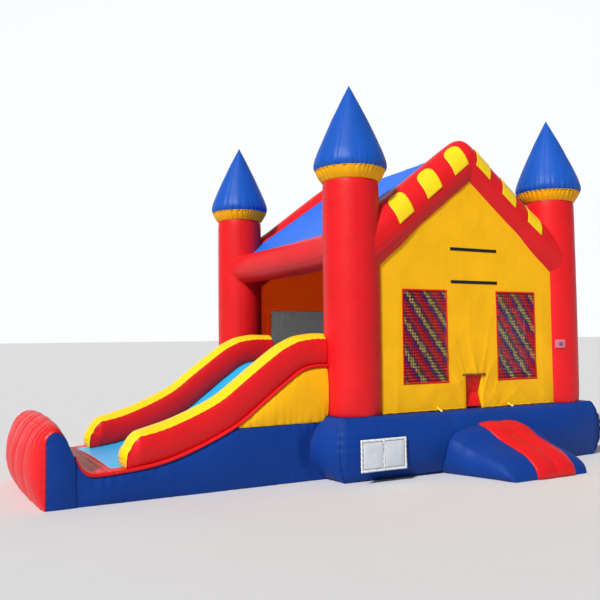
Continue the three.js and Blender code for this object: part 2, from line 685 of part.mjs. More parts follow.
function scroll(inset) {
  const shape = new THREE.Shape();
  const r = BLOWER_R - inset;
  const floor = BLOWER_Z - r;
  shape.moveTo(DUCT_Y - (inset ? 40 : 0), floor);
  shape.absarc(BLOWER_Y, BLOWER_Z, r, -Math.PI / 2, (Math.PI * 5) / 6, false);
  shape.lineTo(BLOWER_Y - 205, DUCT_TOP_Z - inset);
  shape.lineTo(DUCT_Y - (inset ? 40 : 0), DUCT_TOP_Z - inset);
  return shape;
}

function scrollSolid(inset, x0, width) {
  const options = { depth: width, bevelEnabled: false, curveSegments: 22 };
  const geometry = new THREE.ExtrudeGeometry(scroll(inset), options);
  return solid(geometry.rotateX(Math.PI / 2).rotateZ(Math.PI / 2).translate(x0, 0, 0));
}

/** A rod on the fan's axis. */
function onAxis(radius, length, x, sides) {
  return solid(rod(radius, length, 'x', [x, BLOWER_Y, BLOWER_Z], sides));
}

function makeHousing() {
  const half = BLOWER_W / 2;
  const leftWall = SLEEVE_X - half;
  const rightWall = SLEEVE_X + half;
  const leftInside = scrollSolid(BLOWER_WALL, leftWall + BLOWER_WALL, half + 20);
  const rightInside = scrollSolid(BLOWER_WALL, SLEEVE_X - 20, half + 20 - BLOWER_WALL);
  const left = subtractAll(scrollSolid(0, leftWall, half - GAP), [
    leftInside, onAxis(SHAFT_CLEAR_R, 60, leftWall, 16),
  ]);
  const right = subtractAll(scrollSolid(0, SLEEVE_X + GAP, half - GAP), [
    rightInside, onAxis(INLET_R, 60, rightWall, 28),
  ]);
  add('blower_housing_left', left, HOUSING);
  add('blower_housing_right', right, HOUSING);
}

function makeGrille() {
  const thick = 8;
  const x = SLEEVE_X + BLOWER_W / 2 + GAP + thick / 2;
  let grille = onAxis(INLET_R + 22, thick, x, 28);
  for (let i = -3; i <= 3; i += 1) {
    const away = i * GRILLE_BAR_PITCH;
    const tall = 2 * Math.sqrt(INLET_R ** 2 - away ** 2) - thick;
    grille = grille.subtract(solid(box([40, 20, tall], [x, BLOWER_Y + away, BLOWER_Z])));
  }
  add('blower_inlet_grille', grille, HOUSING);
}

function makeWheel() {
  const back = SLEEVE_X - WHEEL_W / 2;
  const front = back + WHEEL_W - 4;
  const hollow = onAxis(WHEEL_R - BLADE_REACH, 20, front, 24);
  let wheel = onAxis(WHEEL_R, 6, back + 3, 24)
    .add(onAxis(26, 60, back + 30, 16))
    .add(onAxis(SHAFT_R, 70, back - 30, 16))
    .add(onAxis(WHEEL_R, 8, front, 24).subtract(hollow));
  for (let i = 0; i < BLADES; i += 1) {
    const blade = new THREE.BoxGeometry(WHEEL_W - 6, 3, BLADE_REACH);
    blade.rotateX(0.6).translate(0, 0, WHEEL_R - 14);
    blade.rotateX((i * 2 * Math.PI) / BLADES).translate(SLEEVE_X + 1, BLOWER_Y, BLOWER_Z);
    wheel = wheel.add(solid(blade));
  }
  add('blower_impeller', wheel, FAN);
}

function makeMotor() {
  const end = SLEEVE_X - BLOWER_W / 2 - GAP;
  const x = end - MOTOR_LENGTH / 2;
  const bore = onAxis(SHAFT_CLEAR_R, 40, end - 10 + GAP, 16);
  add('blower_motor', onAxis(MOTOR_R, MOTOR_LENGTH, x, 28).subtract(bore), MOTOR_METAL);

  const top = BLOWER_Z + MOTOR_R;
  const panel = solid(box(INLET_BOX, [x, BLOWER_Y, top + INLET_BOX[2] / 2 + GAP]));
  const well = solid(box(SWITCH_WELL, [x - 15, BLOWER_Y, top + 54]));
  add('power_inlet_box', panel.subtract(well), HOUSING);
  const rocker = new THREE.Shape(vectors([[-15, 2], [0, -2], [15, 2], [14, 9], [0, 6], [-14, 9]]));
  const key = new THREE.ExtrudeGeometry(rocker, { depth: 20, bevelEnabled: false });
  key.rotateX(Math.PI / 2).rotateZ(Math.PI / 2).translate(x - 25, BLOWER_Y, top + 38);
  add('switch_rocker', key, SWITCH_RED);
}

function makeFeetAndHandle() {
  const shell = scrollSolid(-GAP, SLEEVE_X - 200, 400);
  [['left', -1], ['right', 1]].forEach(([name, side]) => {
    const foot = box(FOOT_SIZE, [SLEEVE_X + side * 100, BLOWER_Y - 60, FOOT_SIZE[2] / 2]);
    add(`blower_foot_${name}`, solid(foot).subtract(shell), RUBBER);
  });
  const outer = vectors([[-90, 0], [90, 0], [90, 58], [70, 78], [-70, 78], [-90, 58]]);
  const inner = vectors([[-66, -10], [66, -10], [66, 46], [58, 54], [-58, 54], [-66, 46]]);
  const grip = solid(extrudeAcross(outer, SLEEVE_X - 16, 32)).subtract(
    solid(extrudeAcross(inner, SLEEVE_X - 30, 60)),
  );
  const raised = grip.translate([0, BLOWER_Y, BLOWER_Z + BLOWER_R - 18]);
  add('blower_handle', raised.subtract(shell), HOUSING);
}

makeBase();
makeTowers();
makeTop();
makeFront();
makeOtherWalls();
makeSlideBody();
makeBed();
makeRails();
makeStopWall();
makeSteps();
makeRampBody();
makeTread();
makePouch();
makeZip();
makeAnchor('left', -RING_X);
makeAnchor('right', RING_X);
makeSleeve();
makeHousing();
makeGrille();
makeWheel();
makeMotor();
makeFeetAndHandle();

export default root;
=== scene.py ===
"""The looks of the inflatable bounce house: inflated vinyl chambers, stretched sheets, nets and the blower.

Metres, in the frame of the CAD model: the origin is on the ground under the middle of the house, +X to the
right along the front wall, +Y to the back, +Z up.
"""

import math
from itertools import product

import bmesh
import bpy
import numpy as np
from mathutils import Matrix, Vector


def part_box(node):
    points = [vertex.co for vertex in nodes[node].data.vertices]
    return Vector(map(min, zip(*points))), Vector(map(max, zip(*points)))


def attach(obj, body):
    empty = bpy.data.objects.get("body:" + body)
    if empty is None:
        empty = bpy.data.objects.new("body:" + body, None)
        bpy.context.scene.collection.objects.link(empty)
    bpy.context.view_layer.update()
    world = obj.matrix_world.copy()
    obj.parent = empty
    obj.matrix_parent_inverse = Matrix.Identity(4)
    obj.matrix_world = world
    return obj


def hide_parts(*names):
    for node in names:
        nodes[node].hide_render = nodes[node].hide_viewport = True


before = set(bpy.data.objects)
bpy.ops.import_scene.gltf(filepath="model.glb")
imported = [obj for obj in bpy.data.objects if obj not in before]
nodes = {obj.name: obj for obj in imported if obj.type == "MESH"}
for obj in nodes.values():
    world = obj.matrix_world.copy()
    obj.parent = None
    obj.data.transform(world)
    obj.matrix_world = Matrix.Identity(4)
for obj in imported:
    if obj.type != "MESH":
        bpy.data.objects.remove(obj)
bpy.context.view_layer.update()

# ---------------------------------------------------------------- dimensions that the frame doesn't hold

ARCH_SLOPE = math.radians(37.5)
PATCH_PLACES = (0.2, 0.70, 1.21)  # patch middles, measured down each slope from the ridge
PATCH_WIDTH = 0.262
NET_PITCH = 0.034
MESH_PITCH = 0.015
GATHER = 0.062  # from fold to fold where a collar and its spire are gathered
WELT = 0.0035  # radius of a sewn seam
ON_SIDE = 1e-9  # a place on a crate this near to 1 or -1 is on a side of it
CAMERA_PLACE = (-5.844, -8.328, 1.483)
CAMERA_YAW, CAMERA_PITCH, CAMERA_ROLL = 28.397, 3.028, 0.63
CAMERA_LENS = 44.23
SUN_FROM = (-0.66, -0.42, 0.62)
SUN_STRENGTH = 3.7
SKY_DIM, SKY_BRIGHT = 0.20, 1.0

# colours are linear, red green blue
RED = (0.70, 0.010, 0.014)
BLUE = (0.005, 0.043, 0.26)
SPIRE_BLUE = (0.008, 0.085, 0.44)
ROOF_BLUE = (0.012, 0.155, 0.78)
BED_BLUE = (0.012, 0.50, 0.96)
YELLOW = (0.95, 0.48, 0.006)
BRIGHT_YELLOW = (0.96, 0.64, 0.012)
WHITE = (0.80, 0.82, 0.84)
BLACK = (0.012, 0.011, 0.010)


# ---------------------------------------------------------------- noise and shape helpers

def lattice(cells, seed):
    """Numbers from 0 to 1 at whole-number places, scattered but the same each run."""
    x, y, z = (cells[:, i].astype(np.int64) for i in range(3))
    mixed = (x * 73856093) ^ (y * 19349663) ^ (z * 83492791) ^ (seed * 2654435761)
    mixed = ((mixed ^ (mixed >> 13)) * 1274126177) & 0x7FFFFFFF
    return ((mixed ^ (mixed >> 16)) & 0xFFFF) / 0xFFFF


def noise(points, size, seed=1):
    """Smooth noise from -1 to 1 with lumps of about that size, one number or one for each axis."""
    scaled = points / np.asarray(size, float)
    cell = np.floor(scaled)
    part = scaled - cell
    part = part * part * (3 - 2 * part)
    total = np.zeros(len(points))
    for corner in product((0, 1), repeat=3):
        weight = np.prod(np.where(np.array(corner) == 1, part, 1 - part), axis=1)
        total += weight * lattice(cell + corner, seed)
    return 2 * total - 1


def ridges(points, size, seed=1):
    """Sharp-crested folds from 0 to 1, as soft sheet makes when it creases."""
    return (1 - np.abs(noise(points, size, seed))) ** 4


def crowded(count, crowd=0.6):
    """Places from -1 to 1, closer together near both ends."""
    t = np.linspace(-1, 1, count)
    return (1 - crowd) * t + crowd * np.sin(t * math.pi / 2)


def smoothstep(t):
    t = np.clip(t, 0, 1)
    return t * t * (3 - 2 * t)


def xyz(x, y, z):
    """Points from their coordinates, some of which can be single numbers."""
    return np.stack(np.broadcast_arrays(x, y, z), axis=-1).reshape(-1, 3).astype(float)


def full_turn(count):
    """Angles all the way round, without the last, which is the first again."""
    return np.linspace(0, 2 * math.pi, count, endpoint=False)


def stretch(t, start, end):
    """From start, where t is -1, to end, where it is 1."""
    return start + (t + 1) / 2 * (end - start)


def at_low(t):
    return t < ON_SIDE - 1


def at_high(t):
    return t > 1 - ON_SIDE


def at_end(t):
    return np.abs(t) > 1 - ON_SIDE


def outwards(t, amount):
    """A push of that amount away from the middle, for the points at either end of t."""
    return np.where(at_end(t), np.sign(t) * amount, 0)


def middle_and_half(low, high, axis=1):
    """The middle of a box along an axis, and half its size."""
    return (low[axis] + high[axis]) / 2, (high[axis] - low[axis]) / 2


def puckers(along, away, spacing, depth, reach, seed=1):
    """Gathers that run away from a seam: sharp creases and round pillows that fade with distance."""
    line = xyz(along, away * 0.4, seed * 3.7)
    drift = noise(line, 3 * spacing, seed)
    strength = 0.55 + 0.45 * noise(line, 2.2 * spacing, seed + 5)
    length = reach * (1 + 0.5 * noise(line, 1.7 * spacing, seed + 9))
    wave = np.abs(np.sin(math.pi * (along / spacing + 0.8 * drift)))
    return depth * strength * np.exp(-away / length) * (wave - 0.7)


def normals_of(points, faces):
    """Outward directions at the points of a mesh of quads."""
    a, b, c, d = (points[faces[:, i]] for i in range(4))
    across = np.cross(c - a, d - b)
    out = np.zeros_like(points)
    for i in range(4):
        np.add.at(out, faces[:, i], across)
    return out / np.maximum(np.linalg.norm(out, axis=1, keepdims=True), 1e-12)


def crate(lines):
    """The outside of a grid of boxes: places from -1 to 1, quads that face out, and each quad's side."""
    size = [len(line) for line in lines]
    shell = np.ones(size, bool)
    shell[1:-1, 1:-1, 1:-1] = False
    index = np.full(size, -1)
    index[shell] = np.arange(shell.sum())
    at = np.argwhere(shell)
    places = np.stack([np.asarray(lines[axis])[at[:, axis]] for axis in range(3)], axis=1)
    faces, sides = [], []
    for axis, end in product(range(3), (0, 1)):
        face = np.take(index, -end, axis=axis)
        quads = np.stack([face[:-1, :-1], face[1:, :-1], face[1:, 1:], face[:-1, 1:]], axis=-1)
        quads = quads.reshape(-1, 4)
        if (end == 0) != (axis == 1):
            quads = quads[:, ::-1]
        faces.append(quads)
        sides.append(np.full(len(quads), 2 * axis + end))
    return places, np.concatenate(faces), np.concatenate(sides)


LOW_X, HIGH_X, LOW_Y, HIGH_Y, _, HIGH_Z = range(6)  # the sides of a crate


def grid_faces(rows, columns, closed=False):
    """Quads between neighbouring rows of points; closed joins the last column to the first."""
    i = np.arange(rows - 1)[:, None] * columns
    j = np.arange(columns if closed else columns - 1)
    k = (j + 1) % columns
    return np.stack([i + j, i + k, i + columns + k, i + columns + j], axis=-1).reshape(-1, 4)


def build(name, points, faces, materials, slots=None, sharp=None):
    """A mesh object whose faces look outwards. An edge is sharp where the marks of its faces differ."""
    mesh = bpy.data.meshes.new(name)
    mesh.from_pydata(np.asarray(points).tolist(), [], [list(map(int, face)) for face in faces])
    for material in materials if isinstance(materials, (list, tuple)) else [materials]:
        mesh.materials.append(material)
    if slots is not None:
        mesh.polygons.foreach_set("material_index", np.asarray(slots, dtype=np.int32))
    shell = bmesh.new()
    shell.from_mesh(mesh)
    bmesh.ops.recalc_face_normals(shell, faces=shell.faces)
    if sharp is not None:
        for edge in shell.edges:
            marks = {sharp[face.index] for face in edge.link_faces}
            edge.smooth = len(marks) == 1
    shell.to_mesh(mesh)
    shell.free()
    mesh.polygons.foreach_set("use_smooth", np.ones(len(mesh.polygons), bool))
    piece = bpy.data.objects.new(name, mesh)
    bpy.context.scene.collection.objects.link(piece)
    return piece


def settle(piece, replaced=(), body="house"):
    """The piece rides on its body and stands for CAD nodes, which it hides."""
    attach(piece, body)
    if replaced:
        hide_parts(*replaced)
    return piece


def settle_air(piece, replaced):
    """The piece settles on the house and stands for the CAD nodes that it replaces."""
    settle(piece, replaced)


def dress(name, material):
    """Gives a CAD node that stays as it is a material of its own."""
    nodes[name].data.materials.clear()
    nodes[name].data.materials.append(material)


def frames_along(path):
    """Two directions across a path at each of its points, which turn as little as they can."""
    path = np.asarray(path, float)
    run = np.gradient(path, axis=0)
    run /= np.maximum(np.linalg.norm(run, axis=1, keepdims=True), 1e-12)
    start = np.array([0, 0, 1.0]) if abs(run[0][2]) < 0.9 else np.array([1.0, 0, 0])
    first = []
    for direction in run:
        start = start - direction * (start @ direction)
        start = start / np.linalg.norm(start)
        first.append(start)
    first = np.array(first)
    return first, np.cross(run, first)


def rope_mesh(path, radius, sides=8, flat=1.0, closed=False):
    """Points and faces of a rope along a path; flat squeezes it to a strap."""
    path = np.asarray(path, float)
    first, second = frames_along(path)
    turn = full_turn(sides)
    ring = (np.cos(turn)[None, :, None] * first[:, None, :] * flat
            + np.sin(turn)[None, :, None] * second[:, None, :])
    points = (path[:, None, :] + radius * ring).reshape(-1, 3)
    faces = [list(face) for face in grid_faces(len(path), sides, closed=True)]
    if closed:
        last = (len(path) - 1) * sides
        faces += [[last + i, last + (i + 1) % sides, (i + 1) % sides, i] for i in range(sides)]
    else:
        faces += [list(range(sides)), list(range((len(path) - 1) * sides, len(path) * sides))]
    return points, faces


def ropes(name, paths, radius, material, sides=6, flat=1.0, closed=False):
    """Several ropes or sewn seams in one piece."""
    points, faces, count = [], [], 0
    for path in paths:
        some, quads = rope_mesh(path, radius, sides, flat, closed)
        points.append(some)
        faces += [[count + i for i in face] for face in quads]
        count += len(some)
    return build(name, np.concatenate(points), faces, material)


def bounds_of(node):
    low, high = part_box(node)
    return np.array(low), np.array(high)


# ---------------------------------------------------------------- materials

def add_node(tree, kind, **settings):
    """A shader node with settings for its inputs, where _ stands for a space, or for itself."""
    made = tree.nodes.new(kind)
    for name, value in settings.items():
        socket = name.replace("_", " ")
        if socket in made.inputs:
            made.inputs[socket].default_value = value
        else:
            setattr(made, name, value)
    return made


def join(source, output, target, socket):
    source.id_data.links.new(source.outputs[output], target.inputs[socket])


def add_noise(tree, place, **settings):
    """Noise over the object's own coordinates."""
    made = add_node(tree, "ShaderNodeTexNoise", **settings)
    join(place, "Object", made, "Vector")
    return made


def calculate(tree, operation, *values):
    """A math node's result, from numbers and from other nodes' results."""
    made = add_node(tree, "ShaderNodeMath", operation=operation)
    for number, value in enumerate(values):
        if isinstance(value, float):
            made.inputs[number].default_value = value
        else:
            tree.links.new(value, made.inputs[number])
    return made.outputs["Value"]


def surface(name, colour, roughness, coat=0.0, metallic=0.0, mottle=0.07, mottle_size=2.3, rough_spread=0.07,
            bumps=((11.0, 0.22, 0.010), (650.0, 0.10, 0.0006)), specular=0.25):
    """A procedural material: a slightly uneven colour and gloss, and a bump for each size in bumps."""
    material = bpy.data.materials.new(name)
    material.use_nodes = True
    tree = material.node_tree
    shader = tree.nodes["Principled BSDF"]
    place = add_node(tree, "ShaderNodeTexCoord")
    clouds = add_noise(tree, place, Scale=mottle_size, Detail=5.0, Roughness=0.6)
    tint = add_node(tree, "ShaderNodeValToRGB")
    for element, position, share in zip(tint.color_ramp.elements, (0.28, 0.72), (1 - mottle, 1 + mottle)):
        element.position = position
        element.color = (*[min(1, c * share) for c in colour], 1)
    join(clouds, "Fac", tint, "Fac")
    join(tint, "Color", shader, "Base Color")
    streaks = add_noise(tree, place, Scale=mottle_size * 3.1, Detail=6.0, Roughness=0.65)
    gloss = add_node(tree, "ShaderNodeMapRange", To_Min=roughness - rough_spread,
                     To_Max=roughness + rough_spread)
    join(streaks, "Fac", gloss, "Value")
    join(gloss, "Result", shader, "Roughness")
    for socket, value in {"Coat Weight": coat, "Coat Roughness": 0.28, "Metallic": metallic,
                          "Specular IOR Level": specular}.items():
        shader.inputs[socket].default_value = value
    target = shader
    for scale, strength, distance in reversed(bumps):
        grain = add_noise(tree, place, Scale=scale, Detail=4.0, Roughness=0.55, Distortion=0.35)
        bump = add_node(tree, "ShaderNodeBump", Strength=strength, Distance=distance)
        join(grain, "Fac", bump, "Height")
        join(bump, "Normal", target, "Normal")
        target = bump
    return material


def vinyl(name, colour, roughness=0.42, coat=0.03, specular=0.22):
    return surface(name, colour, roughness, coat, specular=specular)


def twine(name):
    """Knotted twine in slanting bands of colour."""
    material = surface(name, (0.5, 0.1, 0.1), 0.75, mottle=0.1, bumps=((900.0, 0.5, 0.0008),))
    tree = material.node_tree
    place = add_node(tree, "ShaderNodeTexCoord")
    split = add_node(tree, "ShaderNodeSeparateXYZ")
    join(place, "Object", split, "Vector")
    wander = add_noise(tree, place, Scale=22.0, Detail=4.0)
    slant = calculate(tree, "MULTIPLY_ADD", split.outputs["X"], 1.30, split.outputs["Z"])
    total = calculate(tree, "MULTIPLY_ADD", wander.outputs["Fac"], 0.20, slant)
    share = calculate(tree, "FRACT", calculate(tree, "MULTIPLY", total, 2.9))
    ramp = add_node(tree, "ShaderNodeValToRGB")
    ramp.color_ramp.interpolation = "EASE"
    bands = ((0.0, (0.60, 0.012, 0.02)), (0.16, (0.50, 0.010, 0.03)), (0.27, (0.05, 0.02, 0.22)),
             (0.38, (0.02, 0.03, 0.10)), (0.48, (0.50, 0.36, 0.12)), (0.58, (0.45, 0.33, 0.12)),
             (0.70, (0.01, 0.06, 0.03)), (0.80, (0.22, 0.02, 0.15)), (0.92, (0.60, 0.04, 0.02)))
    while len(ramp.color_ramp.elements) < len(bands):
        ramp.color_ramp.elements.new(0.5)
    for element, (position, colour) in zip(ramp.color_ramp.elements, bands):
        element.position = position
        element.color = (*colour, 1)
    tree.links.new(share, ramp.inputs["Fac"])
    join(ramp, "Color", tree.nodes["Principled BSDF"], "Base Color")
    return material


red = vinyl("red_vinyl", RED)
blue = vinyl("blue_vinyl", BLUE, 0.52, 0.0, 0.12)
spire_blue = vinyl("spire_vinyl", SPIRE_BLUE, 0.46, 0.0)
roof_blue = vinyl("roof_vinyl", ROOF_BLUE, 0.5, 0.0, 0.12)
bed_blue = vinyl("bed_vinyl", BED_BLUE, 0.32, 0.1)
yellow = vinyl("yellow_vinyl", YELLOW, 0.5, 0.0, 0.14)
# the collars' yellow is darkened to orange: painted shade under the spire's overhang
collar_painted_shade_yellow = vinyl("collar_painted_shade_vinyl", (0.86, 0.40, 0.004), 0.5, 0.0, 0.14)
bright_yellow = vinyl("bright_yellow_vinyl", BRIGHT_YELLOW, 0.4)
white = surface("white_vinyl", WHITE, 0.35, 0.3, bumps=((60.0, 0.15, 0.002),))
clear_front = surface("pocket_vinyl", (0.62, 0.66, 0.72), 0.18, 0.5, mottle=0.12, bumps=((40.0, 0.3, 0.003),))
webbing = surface("black_webbing", BLACK, 0.85, mottle=0.2, bumps=((1200.0, 0.6, 0.001),))
rainbow = twine("rainbow_twine")
dark_net = surface("dark_net", (0.035, 0.040, 0.045), 0.8, mottle=0.15, bumps=((1500.0, 0.4, 0.0006),))
# a near-black line: painted shadow for the dark gap between the slide base and the house base
painted_shadow_line = vinyl("painted_shadow_gap", (0.07, 0.008, 0.03), 0.6, 0)
seam_red = vinyl("red_seam", tuple(c * 0.62 for c in RED), 0.55, 0)
seam_blue = vinyl("blue_seam", tuple(c * 0.6 for c in BLUE), 0.55, 0)
# The inner side of the walls is painted shade and painted glow: the orange stands for the yellow cloth in
# shade lit by red bounce, and the emission paints light shining through it.
painted_glow_inner = vinyl("wall_inner_painted_glow", (0.95, 0.27, 0.004), 0.5, 0)
painted_glow_band = vinyl("wall_band_painted_glow", (1.0, 0.36, 0.006), 0.5, 0)
for cloth in (painted_glow_inner, painted_glow_band):  # painted glow: an emission that stands for sun shining through the cloth from behind
    cloth.node_tree.nodes["Principled BSDF"].inputs["Emission Color"].default_value = (1.0, 0.045, 0, 1)
    cloth.node_tree.nodes["Principled BSDF"].inputs["Emission Strength"].default_value = 0.22
hem_brown = surface("brown_hem", (0.34, 0.17, 0.03), 0.6, mottle=0.35, mottle_size=60.0,
                    bumps=((90.0, 0.4, 0.002),))
patch_pale = surface("small_patch", (0.62, 0.16, 0.22), 0.5, bumps=((200.0, 0.2, 0.001),))
patch_grey = surface("small_patch_mark", (0.16, 0.12, 0.22), 0.5, mottle=0.3, bumps=((200.0, 0.2, 0.001),))
seam_yellow = vinyl("yellow_seam", tuple(c * 0.72 for c in YELLOW), 0.55, 0)


# ---------------------------------------------------------------- inflated chambers

def on_crate_side(places, side):
    """Which places are on a side of the crate: LOW_X, HIGH_X and so on."""
    return np.abs(places[:, side // 2] - (-1, 1)[side % 2]) < ON_SIDE


def edge_paths(places, points, wanted):
    """The points along chosen edges of a crate, in order; an edge is named by its two fixed sides."""
    paths = []
    for one, other in wanted:
        on = on_crate_side(places, one) & on_crate_side(places, other)
        free = ({0, 1, 2} - {one // 2, other // 2}).pop()
        order = np.argsort(places[on][:, free])
        paths.append(points[on][order])
    return paths


def chamber(node, counts, shape, materials, slots=None, crowd=0.55, wrinkle=0.0018, wrinkle_size=0.16,
            seed=1, hard_ends=()):
    """The closed inflated chamber that stands for a CAD node.

    shape turns places on a crate into points in the frame; slots picks each quad's material from its side of
    the crate and its middle.
    """
    places, faces, sides = crate([crowded(count, crowd) for count in counts])
    points = shape(places)
    out = normals_of(points, faces)
    soft = noise(points, wrinkle_size, seed) + 0.5 * noise(points, wrinkle_size * 0.4, seed + 3)
    for side in hard_ends:
        soft = np.where(on_crate_side(places, side), 0, soft)
    points = points + out * (wrinkle * soft)[:, None]
    marks = [int(side) if side in hard_ends else -1 for side in sides]
    piece = build(f"{node}_vinyl", points, faces, materials,
                  None if slots is None else slots(sides, points[faces].mean(axis=1)), marks)
    settle_air(piece, [node])
    return places, points


def bulge(t, power=0.7):
    """How far a panel swells, from 0 at its seams to 1 in the middle."""
    return np.cos(np.clip(t, -1, 1) * math.pi / 2) ** power


def make_base():
    _, high = bounds_of("base_mattress")
    seam = -COLUMN_LOW[0]
    swell_x, swell_y, tall = high[0] - seam, high[1] - seam, high[2]
    corner = 0.30

    def shape(places):
        x, y, z = places.T
        along = [corner + (1 - corner) * (1 - t ** 4) for t in (y, x)]
        on_x, on_y = at_end(x), at_end(y)
        reach_x = np.where(x > 0, swell_x - 0.03, swell_x)
        out_x = np.where(on_x, np.sign(x) * reach_x * bulge(z, 0.62) * along[0], 0)
        out_y = np.where(on_y, np.sign(y) * swell_y * bulge(z, 0.62) * along[1], 0)
        points = xyz(x * seam + out_x, y * seam + out_y, (z + 1) / 2 * tall)
        run = np.where(on_x, points[:, 1], points[:, 0])
        fold = puckers(run, (1 - z) * tall / 2, 0.085, 0.016, 0.10, 3)
        fold += puckers(run, (1 + z) * tall / 2, 0.12, 0.012, 0.08, 8)
        corner_away = (1 - np.minimum(np.abs(x), np.abs(y))) * seam
        fold += puckers(points[:, 2], corner_away, 0.10, 0.020, 0.12, 5) * (1 - z ** 2)
        front = on_y & (y < 0)
        for crease_x, lean in ((-0.50, 0.02), (0.60, 0.10)):
            line = crease_x + lean * (1 - z) ** 2
            depth = 0.016 * np.exp(-np.abs(points[:, 0] - line) / 0.022) * smoothstep((z + 0.2) / 0.5)
            fold -= np.where(front, depth, 0)
        outward = np.where(on_x | on_y, fold, 0)
        points[:, 0] += np.where(on_x, np.sign(x) * outward, 0)
        points[:, 1] += np.where(on_y, np.sign(y) * outward, 0)
        groove = sum(np.exp(-((points[:, 0] - baffle) / 0.05) ** 2) for baffle in (-0.61, 0.61))
        from_x, from_y = seam - np.abs(points[:, 0]), seam - np.abs(points[:, 1])
        inside = smoothstep(from_y / 0.5) * smoothstep(from_x / 0.3)
        points[:, 2] += np.where(at_high(z), -0.022 * groove * inside, 0)
        return points

    places, points = chamber("base_mattress", (130, 130, 36), shape, blue, crowd=0.45,
                             wrinkle=0.003, wrinkle_size=0.28, seed=4)
    rims = edge_paths(places, points, [(LOW_Y, HIGH_Z), (HIGH_Y, HIGH_Z), (LOW_X, HIGH_Z), (HIGH_X, HIGH_Z)])
    posts = edge_paths(places, points, [(LOW_X, LOW_Y), (HIGH_X, LOW_Y), (LOW_X, HIGH_Y), (HIGH_X, HIGH_Y)])
    settle(ropes("base_seams", rims + posts, WELT, seam_blue))
    for side in ("left", "right"):
        dress(f"floor_baffle_{side}", white)


def tube_piece(node, rings, material, wrinkle, wrinkle_size, seed):
    """A closed chamber from rings of points, wrinkled a little; gives its rings back."""
    count, sides = rings.shape[:2]
    points = rings.reshape(-1, 3)
    faces = grid_faces(count, sides, closed=True)
    points = points + normals_of(points, faces) * (wrinkle * noise(points, wrinkle_size, seed))[:, None]
    last = (count - 1) * sides
    ends = [list(range(sides)), list(range(last, last + sides))]
    piece = build(f"{node}_vinyl", points, [list(face) for face in faces] + ends, material)
    settle_air(piece, [node])
    return points.reshape(count, sides, 3)


def turned(node, centre, profile, sides, dent, material, seed):
    """A shape turned round a corner's upright axis from heights and radii, with dents by angle and height."""
    heights, radii = np.array(profile).T
    angle, tall = np.meshgrid(full_turn(sides), heights)
    radius = radii[:, None] + dent(angle, tall, radii[:, None])
    rings = xyz(centre[0] + radius * np.cos(angle), centre[1] + radius * np.sin(angle), tall)
    return tube_piece(node, rings.reshape(len(heights), sides, 3), material, 0.0014, 0.13, seed)


def puckers_round(angle, radius, away, spacing, depth, reach, seed):
    """Gathers round a turned shape, in arrays that have a row for each height."""
    return puckers((angle * radius).ravel(), away.ravel(), spacing, depth, reach, seed).reshape(angle.shape)


def wave_around(angle, tall, count, seed):
    """Noise that joins up round a turned shape."""
    place = xyz(np.cos(angle) * count, np.sin(angle) * count, tall)
    return noise(place, 1.0, seed).reshape(angle.shape)


def make_tower(corner, seed):
    """A corner column with its gathered collar and the pointed spire on it."""
    low, high = bounds_of(f"column_{corner}")
    centre, radius = (low + high) / 2, (high[0] - low[0]) / 2
    make_column(corner, centre, radius, low[2], high[2], seed)
    low, high = bounds_of(f"collar_{corner}")
    foot, tall = low[2], high[2] - low[2]
    flare = (high[0] - low[0]) / 2 - 0.012
    waist = radius * 0.99
    profile = [(foot - 0.012 + 0.012 * min(1, s * 8) + tall * s, waist + (flare - waist) * s ** 0.55)
               for s in np.linspace(0, 1, 22)]

    def collar_dent(angle, height, _):
        share = (height - foot) / tall
        rows = puckers_round(angle, flare, (1 - share) * 0.11, GATHER, 0.042, 0.07, seed + 20)
        foot_rows = puckers_round(angle, flare, share * 0.11, GATHER * 1.3, 0.010, 0.03, seed + 24)
        return rows * np.clip(share * 1.6, 0, 1) + foot_rows

    # the collar takes the darker yellow that is painted shade
    turned(f"collar_{corner}", centre, profile, 288, collar_dent, collar_painted_shade_yellow, seed + 1)
    make_spire(corner, centre, flare, seed)


def make_column(corner, centre, radius, foot, top, seed):
    def dent(angle, tall, _):
        seams = -0.0035 * np.exp(-(np.sin(2 * (angle + 0.3)) / 0.05) ** 2)
        joint = np.exp(-((tall - 2.33) / 0.26) ** 2)
        rings = 0.0042 * joint * np.sin(2 * math.pi * tall / 0.048)
        rings = rings * np.clip(wave_around(angle, tall, 1.6, seed), 0, 1)
        pinch = -0.012 * np.exp(-(tall - foot) / 0.05) - 0.008 * np.exp(-(top - tall) / 0.04)
        swell = 0.004 * np.sin(math.pi * (tall - foot) / (top - foot))
        fold = puckers_round(angle, radius, tall - foot, 0.075, 0.009, 0.06, seed)
        return seams + rings + pinch + swell + fold

    heights = np.concatenate([foot + 0.25 * np.linspace(0, 1, 14) ** 1.5, np.linspace(foot + 0.27, 1.9, 46),
                              np.linspace(1.92, 2.75, 90), np.linspace(2.78, top - 0.1, 18),
                              np.linspace(top - 0.085, top, 6)])
    profile = [(tall, radius) for tall in heights]
    turned(f"column_{corner}", centre, profile, 112, dent, red, seed)


